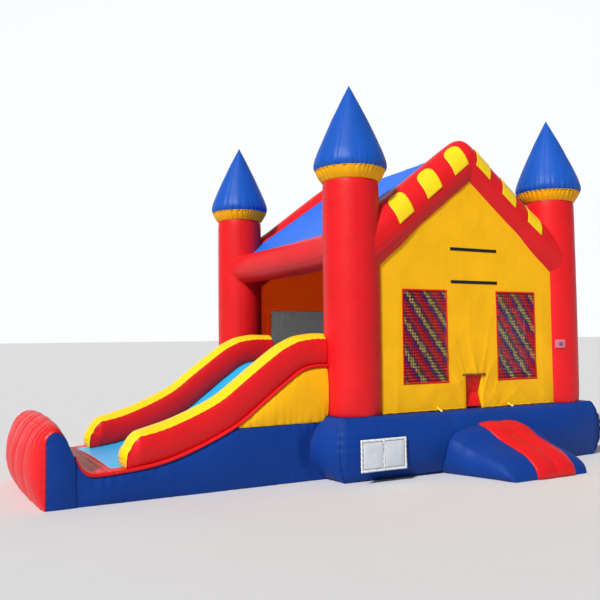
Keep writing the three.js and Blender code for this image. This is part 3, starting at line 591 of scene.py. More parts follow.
def make_spire(corner, centre, flare, seed):
    low, high = bounds_of(f"spire_{corner}")
    widest, seam_z, apex = (high[0] - low[0]) / 2, low[2], high[2]
    bowl_tall = 0.058
    knee = seam_z + bowl_tall
    shoulder_z, shoulder_r = seam_z + 0.19, widest * 0.915
    bowl = [(seam_z + bowl_tall * s, flare + (widest - flare) * math.sin(s * math.pi / 2))
            for s in np.linspace(0, 1, 12)]
    upper = [(knee + (shoulder_z - knee) * s,
              widest + (shoulder_r - widest) * (1 - math.cos(s * math.pi / 2)) ** 0.85)
             for s in np.linspace(0.1, 1, 14)]
    cone = [(shoulder_z + (apex - shoulder_z) * s, shoulder_r * (1 - s) + 0.012 * math.sin(math.pi * s))
            for s in np.linspace(0.02, 0.995, 46)]

    def dent(angle, tall, radii):
        rows = puckers_round(angle, widest, tall - seam_z, GATHER, 0.034, 0.05, seed + 20)
        rows += puckers_round(angle, widest, tall - seam_z, GATHER * 2, 0.010, 0.14, seed + 21)
        seams = -0.005 * np.exp(-(np.sin(3 * (angle + 0.4)) / 0.07) ** 2)
        return (rows + seams) * np.clip(radii / 0.12, 0, 1)

    rings = turned(f"spire_{corner}", centre, bowl + upper + cone + [(apex, 0.0012)], 288, dent, spire_blue,
                   seed + 2)
    settle(ropes(f"spire_seam_{corner}", [rings[0]], WELT, seam_yellow, closed=True))


def arch_point(side, centre, down, angle, radius):
    """A point on a gable tube: how far down the slope, and the angle round it from its top to its outside."""
    run = np.array([side * math.cos(ARCH_SLOPE), 0, -math.sin(ARCH_SLOPE)])
    up = np.array([side * math.sin(ARCH_SLOPE), 0, math.cos(ARCH_SLOPE)])
    out = np.array([0, math.copysign(1, centre[1]), 0])
    down, angle, radius = (np.asarray(v, float)[..., None] for v in (down, angle, radius))
    return centre + down * run + radius * (np.cos(angle) * up + np.sin(angle) * out)


def arch_radius(radius, seed, side, down, angle):
    """The tube's radius: gathered at the ridge and where it meets the column, and swelling a little there."""
    mitre = -radius * math.tan(ARCH_SLOPE) * np.cos(angle)
    run = angle * radius
    under = 1 - np.clip(np.cos(angle), 0, 1) ** 0.7
    fold = puckers(run, np.maximum(down - mitre, 0), 0.075, 0.018, 0.10, seed + side) * under
    fold += puckers(run, np.maximum(1.40 - down, 0), 0.075, 0.012, 0.09, seed + 4 + side)
    seam = -0.003 * np.exp(-(np.sin(angle - 0.9) / 0.05) ** 2)
    flare = 0.020 * smoothstep((down - 1.05) / 0.4)
    return radius + flare + fold + seam


def make_arch(name, seed):
    low, high = bounds_of(name)
    radius = (high[1] - low[1]) / 2 - 0.004
    centre = np.array([0, (low[1] + high[1]) / 2, high[2] - radius / math.cos(ARCH_SLOPE)])
    length = 1.86
    sides = 96
    turn = full_turn(sides)
    rings = []
    for side in (-1, 1):
        mitre = -radius * math.tan(ARCH_SLOPE) * np.cos(turn)
        half = []
        for step in np.linspace(0, 1, 76) ** 1.1:
            down = mitre + (length - mitre) * step
            ring = arch_point(side, centre, down, turn, arch_radius(radius, seed, side, down, turn))
            soft = math.tan(ARCH_SLOPE) * (np.abs(ring[:, 0]) - np.sqrt(ring[:, 0] ** 2 + 0.06 ** 2))
            ring[:, 2] += soft * np.clip(np.cos(turn), 0, 1)
            half.append(ring)
        rings.append(np.array(half))
    whole = np.concatenate([rings[0][::-1], rings[1][1:]])
    tube_piece(name, whole, red, 0.0016, 0.15, len(f"{name}_vinyl"))
    make_patches(name, centre, radius, seed)


def make_patches(name, centre, radius, seed):
    """Yellow patches sewn on the outside of an arch: straight at the foot and round at the top."""
    across, up = 17, 26
    for side, place in product((-1, 1), enumerate(PATCH_PLACES)):
        number, middle = place
        s, t = np.meshgrid(np.linspace(-1, 1, across), np.linspace(0, 1, up))
        angle = np.radians(89 - 66 * t)
        narrow = np.sqrt(np.clip(1 - np.clip((t - 0.62) / 0.38, 0, 1) ** 2.4, 0.0004, 1))
        down = middle - 0.11 * t + s * narrow * PATCH_WIDTH / 2
        proud = arch_radius(radius, seed, side, down.ravel(), angle.ravel()).reshape(down.shape) + 0.005
        points = arch_point(side, centre, down, angle, proud).reshape(-1, 3)
        patch = build(f"{name}_patch_{'left' if side < 0 else 'right'}_{number + 1}", points,
                      grid_faces(up, across), bright_yellow)
        thicken(patch, 0.005)
        settle(patch)


def make_beam(name, seed):
    low, high = bounds_of(name)
    radius = (high[0] - low[0]) / 2
    centre = (low + high) / 2
    sides, half = 88, 1.33
    turn = full_turn(sides)
    rings = []
    for y in half * crowded(70, 0.35):
        away = half - abs(y)
        flare = 0.050 * np.exp(-away / 0.07)
        fold = puckers(turn * radius, max(away - 0.05, 0), 0.075, 0.012, 0.11, seed)
        seam = -0.003 * np.exp(-(np.sin(turn - 0.6) / 0.05) ** 2)
        sag = -0.012 * (1 - (y / half) ** 2)
        size = radius + flare + fold + seam
        rings.append(xyz(centre[0] + size * np.cos(turn), y, centre[2] + sag + size * np.sin(turn)))
    tube_piece(name, np.array(rings), red, 0.0016, 0.15, len(f"{name}_vinyl"))


# ---------------------------------------------------------------- sheets

def thicken(piece, thickness=0.003):
    shell = piece.modifiers.new("thickness", "SOLIDIFY")
    shell.thickness = thickness
    shell.offset = 0
    return shell


def lines_through(stops, step):
    """Grid lines that pass through every stop, and about a step apart in between."""
    stops = sorted(set(round(float(stop), 3) for stop in stops))
    lines = [np.array([stops[0]])]
    for start, end in zip(stops, stops[1:]):
        count = max(1, round((end - start) / step))
        lines.append(np.linspace(start, end, count + 1)[1:])
    return np.concatenate(lines)


def face_out(piece, direction):
    """Turns an open sheet's faces so that they look that way."""
    mean = sum((polygon.normal * polygon.area for polygon in piece.data.polygons), Vector())
    if mean.dot(Vector(direction)) < 0:
        piece.data.flip_normals()


def wall_ripple(x, z, foot, seed):
    """Soft creases of a stretched wall: most near its foot and towards its corners."""
    flat = xyz(x, 0, z)
    near_foot = np.exp(-(z - foot) / 0.34)
    slanted = xyz(x + 0.9 * (z - foot) * np.sign(x), 0, (z - foot) * 0.35)
    creases = 0.024 * ridges(slanted, 0.26, seed) * near_foot
    fans = xyz(np.arctan2(x, z - foot + 0.25) * 1.3, 0, np.hypot(x, z - foot) * 0.2)
    creases = creases + 0.016 * ridges(fans, 0.17, seed + 8) * np.exp(-np.hypot(x, z - foot - 0.3) / 0.55)
    upright = 0.007 * ridges(xyz(x, 0, z * 0.18), 0.30, seed + 2) * (0.35 + near_foot)
    waves = 0.004 * noise(flat, (0.55, 1, 0.8), seed + 5) + 0.0014 * noise(flat, 0.11, seed + 6)
    return creases + upright + waves


def make_gable_wall(name, sign, holes, seed):
    """A wall sheet with straight-sided holes, each given as its box in X and Z."""
    low, high = bounds_of(name)
    y = (low[1] + high[1]) / 2
    foot, half = low[2], high[0]
    peak = high[2] + 0.03
    eave = peak - half * math.tan(ARCH_SLOPE)
    x_lines = lines_through([-half, 0, half] + [v for hole in holes for v in hole[0]], 0.018)
    z_lines = lines_through([foot, eave] + [v for hole in holes for v in hole[1]], 0.018)
    upper = np.linspace(0, 1, 50)[1:]
    grid_x = np.repeat(x_lines[None, :], len(z_lines) + len(upper), axis=0)
    grid_z = np.concatenate([
        np.repeat(z_lines[:, None], len(x_lines), axis=1),
        eave + upper[:, None] * (half - np.abs(x_lines))[None, :] * math.tan(ARCH_SLOPE) * 0.999
        + upper[:, None] * 0.001,
    ])
    x, z = grid_x.ravel(), grid_z.ravel()

    def surface_y(px, pz):
        px, pz = np.asarray(px, float), np.asarray(pz, float)
        return y + sign * wall_ripple(px, pz, foot, seed) * smoothstep((half - np.abs(px)) / 0.12)

    faces = grid_faces(len(grid_x), len(x_lines))
    points = xyz(x, surface_y(x, z), z)
    middle = points[faces].mean(axis=1)
    keep = np.ones(len(faces), bool)
    for (x0, x1), (z0, z1) in holes:
        keep &= ~((middle[:, 0] > x0) & (middle[:, 0] < x1) & (middle[:, 2] > z0) & (middle[:, 2] < z1))
    piece = build(f"{name}_sheet", points, faces[keep], [yellow, painted_glow_inner])
    tidy_loose(piece)
    face_out(piece, (0, sign, 0))
    # the inner shell takes the second material: orange painted shade with a painted glow
    thicken(piece).material_offset = 1
    settle(piece, [name])
    area = 2 * half * (eave - foot) + half * half * math.tan(ARCH_SLOPE)
    area -= sum((x1 - x0) * (z1 - z0) for (x0, x1), (z0, z1) in holes)
    return surface_y


def tidy_loose(piece):
    """Deletes points that no face uses."""
    shell = bmesh.new()
    shell.from_mesh(piece.data)
    bmesh.ops.delete(shell, geom=[v for v in shell.verts if not v.link_faces], context="VERTS")
    shell.to_mesh(piece.data)
    shell.free()


def ribbon(name, path, width_ways, half_width, material, thickness=0.003, body="house"):
    """A flat strip along a path; width_ways is the direction across it at each point."""
    path, width_ways = np.asarray(path, float), np.asarray(width_ways, float)
    if width_ways.ndim == 1:
        width_ways = np.repeat(width_ways[None, :], len(path), axis=0)
    rows = np.stack([path - half_width * width_ways, path, path + half_width * width_ways], axis=1)
    piece = build(name, rows.reshape(-1, 3), grid_faces(len(path), 3), material)
    thicken(piece, thickness)
    return settle(piece, body=body)


def build_strips(name, strips, material, thickness):
    """One piece from flat strips, each given as its three long rows of points."""
    faces, count = [], 0
    for rows in strips:
        faces.append(grid_faces(3, len(rows[0])) + count)
        count += 3 * len(rows[0])
    points = np.concatenate([row for rows in strips for row in rows])
    piece = build(name, points, np.concatenate(faces), material)
    thicken(piece, thickness)
    return piece


def make_hem(name, x_range, z_range, surface_y, sign, width):
    """A sewn border round a window, on the outside of the wall."""
    (x0, x1), (z0, z1) = x_range, z_range
    edge = width / 2 - 0.004
    corners = [(x0 - edge, z0 - edge), (x1 + edge, z0 - edge), (x1 + edge, z1 + edge), (x0 - edge, z1 + edge)]
    strips = []
    for (ax, az), (bx, bz) in zip(corners, corners[1:] + corners[:1]):
        length = math.hypot(bx - ax, bz - az)
        steps = np.linspace(-width / 2, length + width / 2, 60)
        run = np.array([bx - ax, bz - az]) / length
        gather = 0.0016 * np.abs(np.sin(steps * math.pi / 0.05))
        rows = []
        for offset, crown in ((-width / 2, 0.003), (0, 0.006), (width / 2, 0.003)):
            px = ax + run[0] * steps - run[1] * offset
            pz = az + run[1] * steps + run[0] * offset
            rows.append(xyz(px, surface_y(px, pz) + sign * (crown + gather), pz))
        strips.append(rows)
    settle(build_strips(name, strips, red, 0.003))


def make_net(name, node, axis, pitch, width, material, sag):
    """A net of flat strands in a window: strands up and across, with a knot's width where they meet."""
    low, high = bounds_of(node)
    other = 1 - axis
    middle = (low[other] + high[other]) / 2
    span, tall = high[axis] - low[axis], high[2] - low[2]
    columns, rows = round(span / pitch), round(tall / pitch)
    fine = 4  # points along a strand from knot to knot

    def strand(fixed, along, upright, seed):
        wobble = 0.12 * pitch * noise(xyz(along / pitch, seed, 0), 2.3, 7)
        half = width / 2 * (1 + 0.125 * np.cos(2 * math.pi * along / pitch))
        lines = []
        for offset in (-1, 0, 1):
            across = fixed + wobble + offset * half
            a, b = (across, along) if upright else (along, across)
            place = np.zeros((len(along), 3))
            place[:, axis] = low[axis] + a
            place[:, 2] = low[2] + b
            dip = sag * np.sin(math.pi * a / span) * np.sin(math.pi * b / tall)
            place[:, other] = middle + dip + (0.0022 if upright else -0.0022) + 0.0012 * (offset == 0)
            lines.append(place)
        return lines

    up, level = np.linspace(0, tall, rows * fine + 1), np.linspace(0, span, columns * fine + 1)
    strips = [strand(i * span / columns, up, True, i * 1.7) for i in range(columns + 1)]
    strips += [strand(i * tall / rows, level, False, i * 2.3 + 50) for i in range(rows + 1)]
    piece = build_strips(name, strips, material, min(0.0022, pitch * 0.07))
    settle(piece, [node])


def make_front():
    low, high = bounds_of("front_wall")
    windows = []
    for side in ("left", "right"):
        a, b = bounds_of(f"front_window_net_{side}")
        windows.append(((a[0], b[0]), (a[2], b[2])))
    flap_low, flap_high = bounds_of("door_flap")
    door = ((flap_low[0] - 0.006, flap_high[0] + 0.006), (low[2], flap_high[2] + 0.004))
    surface_y = make_gable_wall("front_wall", -1, windows + [door], 11)
    for side, (x_range, z_range) in zip(("left", "right"), windows):
        make_net(f"rainbow_net_{side}", f"front_window_net_{side}", 0, NET_PITCH, 0.0120, rainbow,
                 0.01)
        make_hem(f"window_hem_{side}", x_range, z_range, surface_y, -1, width=0.020)
    for which in ("upper", "lower"):
        a, b = bounds_of(f"banner_strip_{which}")
        x = np.linspace(a[0], b[0], 40)
        z = (a[2] + b[2]) / 2 + 0 * x
        path = xyz(x, surface_y(x, z) - 0.004, z)
        strip = ribbon(f"banner_strip_{which}_webbing", path, (0, 0, 1), (b[2] - a[2]) / 2, webbing)
        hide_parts(f"banner_strip_{which}")
        ends = [xyz(x, surface_y(x, z + dz) - 0.0062, z + dz) for dz in (-0.013, 0.013)]
        settle(ropes(f"banner_stitches_{which}", ends, 0.0012, dark_net))
    make_door(door, surface_y, flap_low, flap_high)
    make_wall_foot(surface_y, low, high)
    make_small_patch()


def make_door(door, surface_y, flap_low, flap_high):
    (x0, x1), (_, top) = door
    x = np.linspace(x0 - 0.045, x1 + 0.045, 60)
    z = top + 0.012
    path = xyz(x, surface_y(x, z) - 0.006 - 0.006 * np.abs(np.sin(x * math.pi / 0.032)), z)
    ribbon("entrance_hem", path, (0, 0, 1), 0.013, hem_brown)
    for number, edge in enumerate(np.arange(x0 - 0.03, x1 + 0.03, 0.032)):
        z = np.linspace(top + 0.004, top + 0.022, 4)
        stitch = xyz(edge, surface_y(edge, z) - 0.014, z)
        settle(ropes(f"entrance_stitch_{number + 1}", [stitch], 0.003, webbing))
    for side, edge in (("left", x0), ("right", x1)):
        z = np.linspace(flap_low[2] - 0.02, top + 0.004, 40)
        face = surface_y(edge, z)
        deep = flap_high[1] + 0.03
        path = xyz(edge, (face + deep) / 2, z)
        half_width = abs(deep - face.mean()) / 2 + 0.004
        ribbon(f"entrance_reveal_{side}", path, (0, 1, 0), half_width, yellow)

    columns, rows = 25, 60
    knee_z = 0.835  # where the flap meets the base and bends forward
    s, t = np.meshgrid(np.linspace(-1, 1, columns), np.linspace(0, 1, rows))
    half = (flap_high[0] - flap_low[0]) / 2
    tall = flap_high[2] - flap_low[2]
    z = flap_high[2] - 0.002 - t * (tall - 0.004)
    knee = (flap_high[2] - knee_z) / tall
    inwards = np.where(t < knee, t / knee, 1 - (t - knee) / (1 - knee) * 0.85)
    depth = flap_high[1] - flap_low[1] - 0.008
    grid = xyz(s, 0, z)
    y = (flap_low[1] + 0.004 + depth * inwards).ravel()
    y = y + (0.005 * np.cos(math.pi * grid[:, 0] * 1.5) * smoothstep(t.ravel() * 3)
             + 0.003 * noise(grid, (0.6, 1, 0.07), 31)) * smoothstep(t.ravel() * 6)
    x = (s * (half - 0.002)).ravel()
    flap = build("door_flap_cloth", xyz(x, y, z.ravel()), grid_faces(rows, columns), red)
    thicken(flap, 0.0025)
    settle(flap, ["door_flap"], "door_flap")


def make_wall_foot(surface_y, low, high):
    """The wall's lower edge: a rolled hem, and two tabs that tie it to the base."""
    for part, (x0, x1) in {"left": (low[0], -0.15), "right": (0.15, high[0])}.items():
        x = np.linspace(x0 + 0.02, x1, 70)
        z = low[2] + 0.008 + 0.005 * np.abs(np.sin(x * math.pi / 0.14))
        path = xyz(x, surface_y(x, z) - 0.002, z)
        settle(ropes(f"wall_foot_hem_{part}", [path], 0.006, yellow, sides=8))
    for name, x, tip in (("left", -0.555, 0.030), ("right", 0.500, 0.045)):
        steps = np.linspace(0, 1, 20)
        face = surface_y(x, low[2] + 0.03)
        path = xyz(x + tip * steps, face - 0.010 - 0.070 * steps,
                   low[2] + 0.040 - 0.012 * steps - 0.050 * steps ** 2)
        across = (0.62, 0.55, 0.56)
        ribbon(f"tie_tab_{name}", path, across, 0.022, bright_yellow, 0.004)
        end = path[-7:] + np.array([0, -0.002, 0.003])
        ribbon(f"tie_tab_tip_{name}", end, across, 0.023, white, 0.004)


def make_small_patch():
    """A small blank patch on the front right column."""
    low, high = bounds_of("column_front_right")
    centre, radius = (low + high) / 2, (high[0] - low[0]) / 2
    angle, z = np.meshgrid(np.radians(np.linspace(-131, -108, 12)), np.linspace(1.335, 1.44, 8))
    r = radius + 0.010
    points = xyz(centre[0] + r * np.cos(angle), centre[1] + r * np.sin(angle), z)
    patch = build("column_patch", points, grid_faces(8, 12), patch_pale)
    thicken(patch, 0.002)
    settle(patch)
    inner = points.reshape(8, 12, 3)[2:6, 4:9].reshape(-1, 3) + np.array([0, -0.0025, 0])
    mark = build("column_patch_mark", inner, grid_faces(4, 5), patch_grey)
    thicken(mark, 0.001)
    settle(mark)


def make_other_walls():
    rear_low, rear_high = bounds_of("rear_window_mesh")
    hole = ((rear_low[0], rear_high[0]), (rear_low[2], rear_high[2]))
    surface_y = make_gable_wall("rear_wall", 1, [hole], 23)
    make_net("rear_mesh", "rear_window_mesh", 0, MESH_PITCH, 0.0100, dark_net, 0.012)
    make_hem("rear_mesh_hem", *hole, surface_y, 1, width=0.04)
    make_inner_seams(surface_y, hole)

    low, high = bounds_of("right_wall")
    mesh_low, mesh_high = bounds_of("right_window_mesh")
    make_side_sheet("right_wall", low, high, ((mesh_low[1], mesh_high[1]), (mesh_low[2], mesh_high[2])), 37)
    make_net("right_mesh", "right_window_mesh", 1, MESH_PITCH, 0.0100, dark_net, 0.012)
    low, high = bounds_of("left_low_wall")
    make_side_sheet("left_low_wall", low, high, None, 41)


def make_inner_seams(surface_y, hole):
    """Bands on the inner side of the rear wall, upright beside the window and level over it, in a brighter
    orange with a painted glow.
    """
    (x0, x1), (_, z1) = hole
    band = 0.045
    x = np.linspace(-1.25, 1.25, 90)
    level = xyz(x, surface_y(x, z1 + band) - 0.006, z1 + band)
    # the bands' brighter orange and glow are painted light
    ribbon("rear_wall_band_level", level, (0, 0, 1), band / 2, painted_glow_band)
    for side, edge in (("left", x0 - band), ("right", x1 + band)):
        z = np.linspace(0.68, z1 + band * 1.5, 60)
        path = xyz(edge, surface_y(edge, z) - 0.008, z)
        ribbon(f"rear_wall_band_{side}", path, (1, 0, 0), band / 2, painted_glow_band)


def make_side_sheet(name, low, high, hole, seed):
    x = (low[0] + high[0]) / 2
    sign = math.copysign(1, x)
    stops_y, stops_z = [low[1], high[1]], [low[2], high[2]]
    if hole:
        stops_y += list(hole[0])
        stops_z += list(hole[1])
    y_lines, z_lines = lines_through(stops_y, 0.022), lines_through(stops_z, 0.022)
    grid_y, grid_z = np.meshgrid(y_lines, z_lines)
    y, z = grid_y.ravel(), grid_z.ravel()
    edge = smoothstep(np.minimum(y - low[1], high[1] - y) / 0.12)
    points = xyz(x + sign * edge * wall_ripple(y, z, low[2], seed), y, z)
    faces = grid_faces(*grid_y.shape)
    if hole:
        middle = points[faces].mean(axis=1)
        (y0, y1), (z0, z1) = hole
        inside = (middle[:, 1] > y0) & (middle[:, 1] < y1) & (middle[:, 2] > z0) & (middle[:, 2] < z1)
        faces = faces[~inside]
    piece = build(f"{name}_sheet", points, faces, yellow)
    tidy_loose(piece)
    thicken(piece)
    settle(piece, [name])
    area = (high[1] - low[1]) * (high[2] - low[2])
    if hole:
        area -= (y1 - y0) * (z1 - z0)
        rim = np.array([(y0, z0), (y1, z0), (y1, z1), (y0, z1), (y0, z0)])
        path = np.concatenate([np.linspace(a, b, 60)[:-1] for a, b in zip(rim, rim[1:])])
        ripple = wall_ripple(path[:, 0], path[:, 1], low[2], seed)
        place = xyz(x + sign * (ripple + 0.006), path[:, 0], path[:, 1])
        settle(ropes(f"{name}_window_hem", [place], 0.014, red, sides=8, flat=1.0, closed=True))
    top = np.linspace(low[1] + 0.01, high[1] - 0.01, 60)
    if not hole:
        place = xyz(x + sign * wall_ripple(top, high[2], low[2], seed), top, high[2])
        settle(ropes(f"{name}_top_hem", [place], 0.014, red, sides=10))


def make_roof():
    low, high = bounds_of("roof_cover")
    half_x, half_y, ridge = high[0], 1.32, high[2]
    slope = (high[2] - low[2]) / half_x
    x_lines = np.concatenate([-half_x + half_x * np.linspace(0, 1, 70), half_x * np.linspace(0, 1, 70)[1:]])
    grid_x, grid_y = np.meshgrid(x_lines, np.linspace(-half_y, half_y, 110))
    x, y = grid_x.ravel(), grid_y.ravel()
    span = 1 - (y / half_y) ** 2
    share = np.abs(x) / half_x
    z = ridge - slope * (np.sqrt(x * x + 0.03 ** 2) - 0.03)
    sag = 0.050 * span * np.sin(math.pi * np.clip(share, 0, 1)) + 0.022 * span
    place = xyz(x, y, 0)
    spread = np.arctan2(np.abs(y) - half_y, share * half_x + 0.3)
    fans = xyz(spread * 2.2, share * 0.3, np.sign(y) + 2 * np.sign(x))
    folds = 0.011 * ridges(fans, 0.16, 51) * (1 - span) ** 0.5 + 0.006 * noise(place, (0.5, 0.9, 1), 52)
    z = z - sag + folds - 0.008
    piece = build("roof_cover_sheet", xyz(x, y, z), grid_faces(*grid_x.shape), roof_blue)
    thicken(piece)
    settle(piece, ["roof_cover"])


# ---------------------------------------------------------------- the slide

def drop(name, x, y):
    """The height at which a line straight down meets a CAD node, for each x and y."""
    node, above = nodes[name], 6.0
    back = node.matrix_world.inverted()
    down = back.to_3x3() @ Vector((0, 0, -1))
    heights = []
    for px, py in zip(*np.broadcast_arrays(x, y)):
        hit, place, _, _ = node.ray_cast(back @ Vector((px, py, above)), down)
        heights.append((node.matrix_world @ place).z if hit else math.nan)
    return np.array(heights)


def evened(x, z, times):
    """A line of heights with its gaps filled, evened out that many times."""
    good = ~np.isnan(z)
    z = np.interp(x, x[good], z[good])
    for _ in range(times):
        z[1:-1] = (z[:-2] + 2 * z[1:-1] + z[2:]) / 4
    return z


COLUMN_LOW, COLUMN_HIGH = bounds_of("column_front_left")
COLUMN_CENTRE = (COLUMN_LOW + COLUMN_HIGH) / 2
COLUMN_CLEAR = (COLUMN_HIGH[0] - COLUMN_LOW[0]) / 2 + 0.008


def slide_end(y, inner):
    """Where a part of the slide ends: at the front left column, or further in beside it."""
    across = np.clip(np.abs(y - COLUMN_CENTRE[1]) / COLUMN_CLEAR, 0, 1)
    at_column = COLUMN_CENTRE[0] - COLUMN_CLEAR * np.sqrt(1 - across ** 2)
    return np.where(across < 0.999, np.minimum(at_column, inner), inner)


def measured_line():
    """The top of the slide bed and landing as a function of x, rising in a hollow to the stop wall."""
    rail_y = bounds_of("slide_rail_near")[1][1] + 0.2
    left, right = bounds_of("landing_pad")[0][0] + 0.003, bounds_of("slide_bed")[1][0] - 0.003
    x = np.linspace(left, right, 260)
    z = evened(x, np.fmax(drop("landing_pad", x, rail_y), drop("slide_bed", x, rail_y)), 14)
    hollow_from, hollow = left + 0.193, 0.15
    z = z + hollow * np.clip((hollow_from - x) / (hollow_from - left), 0, 1) ** 3.2
    return lambda wanted: np.interp(wanted, x, z)


BED_THICK = 0.036
bed_top = measured_line()


def rounded_edge(u, v, corner):
    """Rounds the edge between two sides of a chamber, at distances u and v from its points.

    Gives the new distances, how far each is towards the edge, from 0 to 1, the reach of both together, and
    which points lie on the round part.
    """
    a, b = np.clip(1 - u / corner, 0, None), np.clip(1 - v / corner, 0, None)
    reach = np.maximum(np.hypot(a, b), ON_SIDE)
    rounded = (a > 0) & (b > 0)
    shrink = np.maximum(a, b) / reach
    u = np.where(rounded, corner * (1 - a * shrink), u)
    v = np.where(rounded, corner * (1 - b * shrink), v)
    return u, v, a, b, reach, rounded


def make_rail(which):
    name = f"slide_rail_{which}"
    low, high = bounds_of(name)
    middle_y, half = middle_and_half(low, high)
    nose_from, nose_slope = low[0] + 0.16, 0.5
    x_line = np.linspace(nose_from, high[0] - 0.02, 90)
    z_line = evened(x_line, drop(name, x_line, middle_y), 6)
    start, inset, dome, side, corner = low[0] + 0.030, 0.028, 0.062, 0.034, 0.14
    inner_end = high[0] - (0.01 if which == "near" else 0.15)

    def shape(places):
        px, py, pz = places.T
        y = middle_y + py * (half - inset)
        x = stretch(px, start, slide_end(y, inner_end))
        top = np.interp(x, x_line, z_line) + nose_slope * np.minimum(x - nose_from, 0) - dome
        floor = bed_top(x) + 0.003
        u, v = x - start, (1 - pz) / 2 * (top - floor)
        new_u, new_v, a, b, reach, rounded = rounded_edge(u, v, corner)
        x, z = start + new_u, top - new_v
        on_top, on_nose = at_high(pz), at_low(px)
        run = np.where(on_nose, start - new_v, x * 1.25)
        rim = np.minimum(v, u * 1.2)
        seam = puckers(x * 1.25, v, 0.085, 0.006, 0.05, 3) + puckers(z, u, 0.085, 0.005, 0.04, 6)
        foot = puckers(x * 1.25, z - floor, 0.10, 0.005, 0.05, 9)
        swell = side * bulge(pz) * (0.4 + 0.6 * smoothstep(u / 0.15))
        y = y + outwards(py, swell + (seam + foot) * smoothstep(rim / 0.004 + 0.6))
        lift = dome * bulge(py, 0.8) * (0.6 + 0.4 * smoothstep(u / 0.3))
        lift = lift + puckers(run, (1 - np.abs(py)) * half, 0.085, 0.006, 0.045, 3)
        lift = np.where(on_nose & ~rounded, lift * smoothstep((z - floor) / 0.05), lift)
        lift = np.where(on_top | on_nose, lift, 0)
        out_x = np.where(rounded, -a / reach, np.where(on_nose, -0.6, 0))
        out_z = np.where(rounded, b / reach, np.where(on_top, 1, 0))
        return xyz(x + out_x * lift, y, z + out_z * lift)

    def slots(sides, _):
        return np.isin(sides, (HIGH_Z, LOW_X)).astype(int)

    places, points = chamber(name, (150, 28, 30), shape, [red, bright_yellow], slots, crowd=0.5,
                             wrinkle=0.002, wrinkle_size=0.14, seed=13)
    seams = edge_paths(places, points, [(LOW_Y, HIGH_Z), (HIGH_Y, HIGH_Z), (LOW_X, LOW_Y), (LOW_X, HIGH_Y)])
    settle(ropes(f"{name}_seams", seams, WELT * 0.8, seam_red))


def base_side_x(y, z):
    """How far left the house base reaches, which the slide base has to leave free."""
    _, high = bounds_of("base_mattress")
    seam = -COLUMN_LOW[0]
    along = 0.22 + 0.78 * (1 - np.clip(np.abs(y) / seam, 0, 1) ** 4)
    return -(seam + (high[0] - seam) * bulge(2 * z / high[2] - 1) * along)


def make_slide():
    low, high = bounds_of("slide_base")
    middle_y, half = middle_and_half(low, high)
    make_slide_base(low, middle_y, half)
    make_shoulder(middle_y, half)
    make_bed(middle_y, half)
    for which in ("near", "far"):
        make_rail(which)
    make_landing()
    make_stop_wall()


def make_slide_base(low, middle_y, half):
    """The blue base under the slide, which stops short of the house base's swelling side."""
    lid = bounds_of("slide_shoulder")[0][2] - 0.006
    house_side = -1.86  # about where the base ends, only to guess the height that its true end depends on

    def shape(places):
        px, py, pz = places.T
        y = middle_y + py * (half - 0.004)
        start = low[0] + 0.001
        guess = stretch(px, start, house_side)
        z = (pz + 1) / 2 * np.minimum(bed_top(guess) - BED_THICK, lid)
        free = base_side_x(y, z) - 0.014
        x = stretch(px, start, free)
        tall = np.minimum(bed_top(x) - BED_THICK, lid)
        inwards = smoothstep((x - start) / 0.3)
        seam = puckers(x, (1 - pz) / 2 * tall, 0.10, 0.013, 0.08, 23)
        foot = puckers(x, (1 + pz) / 2 * tall, 0.12, 0.012, 0.06, 27)
        swell = 0.032 * bulge(pz) * smoothstep((free - x) / 0.2)
        y = y + outwards(py, inwards * (swell + seam + foot) - 0.004)
        return xyz(x, y, (pz + 1) / 2 * tall)

    places, points = chamber("slide_base", (130, 60, 30), shape, blue, wrinkle=0.003,
                             wrinkle_size=0.22, seed=17, hard_ends=(LOW_X,))
    # the end edge by the house base is drawn near black, a painted shadow in the gap
    for name, edges, material in (("slide_base_end_painted_shadow", [(LOW_Y, HIGH_X)], painted_shadow_line),
                                  ("slide_base_seams", [(LOW_Y, HIGH_Z), (HIGH_Y, HIGH_Z)], seam_blue)):
        settle(ropes(name, edge_paths(places, points, edges), WELT, material))


def make_shoulder(middle_y, half):
    """The yellow part between the slide's base and its bed, which lies on the house base at its right end."""
    low, high = bounds_of("slide_shoulder")
    mattress_top = bounds_of("base_mattress")[1][2]

    def shape(places):
        px, py, pz = places.T
        y = middle_y + py * (half - 0.006)
        x = stretch(px, low[0] + 0.012, slide_end(y, high[0] - 0.01))
        floor = low[2] + 0.001 + (mattress_top - low[2]) * smoothstep((x + 1.90) / 0.05)
        top = np.maximum(bed_top(x) - BED_THICK, floor + 0.004)
        tall = top - floor
        seam = puckers(x, (1 + pz) / 2 * tall, 0.10, 0.010, 0.07, 29)
        seam = seam + puckers(x, (1 - pz) / 2 * tall, 0.09, 0.010, 0.06, 30)
        swell = 0.026 * bulge(pz) * np.clip(tall / 0.3, 0, 1)
        return xyz(x, y + outwards(py, swell + seam * np.clip(tall / 0.1, 0, 1)), stretch(pz, floor, top))

    chamber("slide_shoulder", (100, 60, 26), shape, yellow, wrinkle=0.0028, wrinkle_size=0.2,
            seed=19)


def make_bed(middle_y, half):
    """The sliding lane, blue between two red margins."""
    low, high = bounds_of("slide_bed")

    def shape(places):
        px, py, pz = places.T
        y = middle_y + py * (half - 0.003)
        x = stretch(px, low[0] + 0.003, slide_end(y, high[0] - 0.006))
        z = bed_top(x) - (1 - pz) / 2 * (BED_THICK - 0.002)
        across = np.clip(np.abs(y - middle_y) / (half - 0.33), 0, 1)
        z = z + np.where(at_high(pz), 0.012 * bulge(across, 0.8) * (across < 1), 0)
        return xyz(x, y + outwards(py, 0.014 * bulge(pz) + 0.005), z)

    def slots(sides, middles):
        return ((sides == HIGH_Z) & (np.abs(middles[:, 1] - middle_y) < half - 0.15)).astype(int)

    chamber("slide_bed", (140, 80, 7), shape, [red, bed_blue], slots, crowd=0.25,
            wrinkle=0.0016, wrinkle_size=0.2, seed=21)


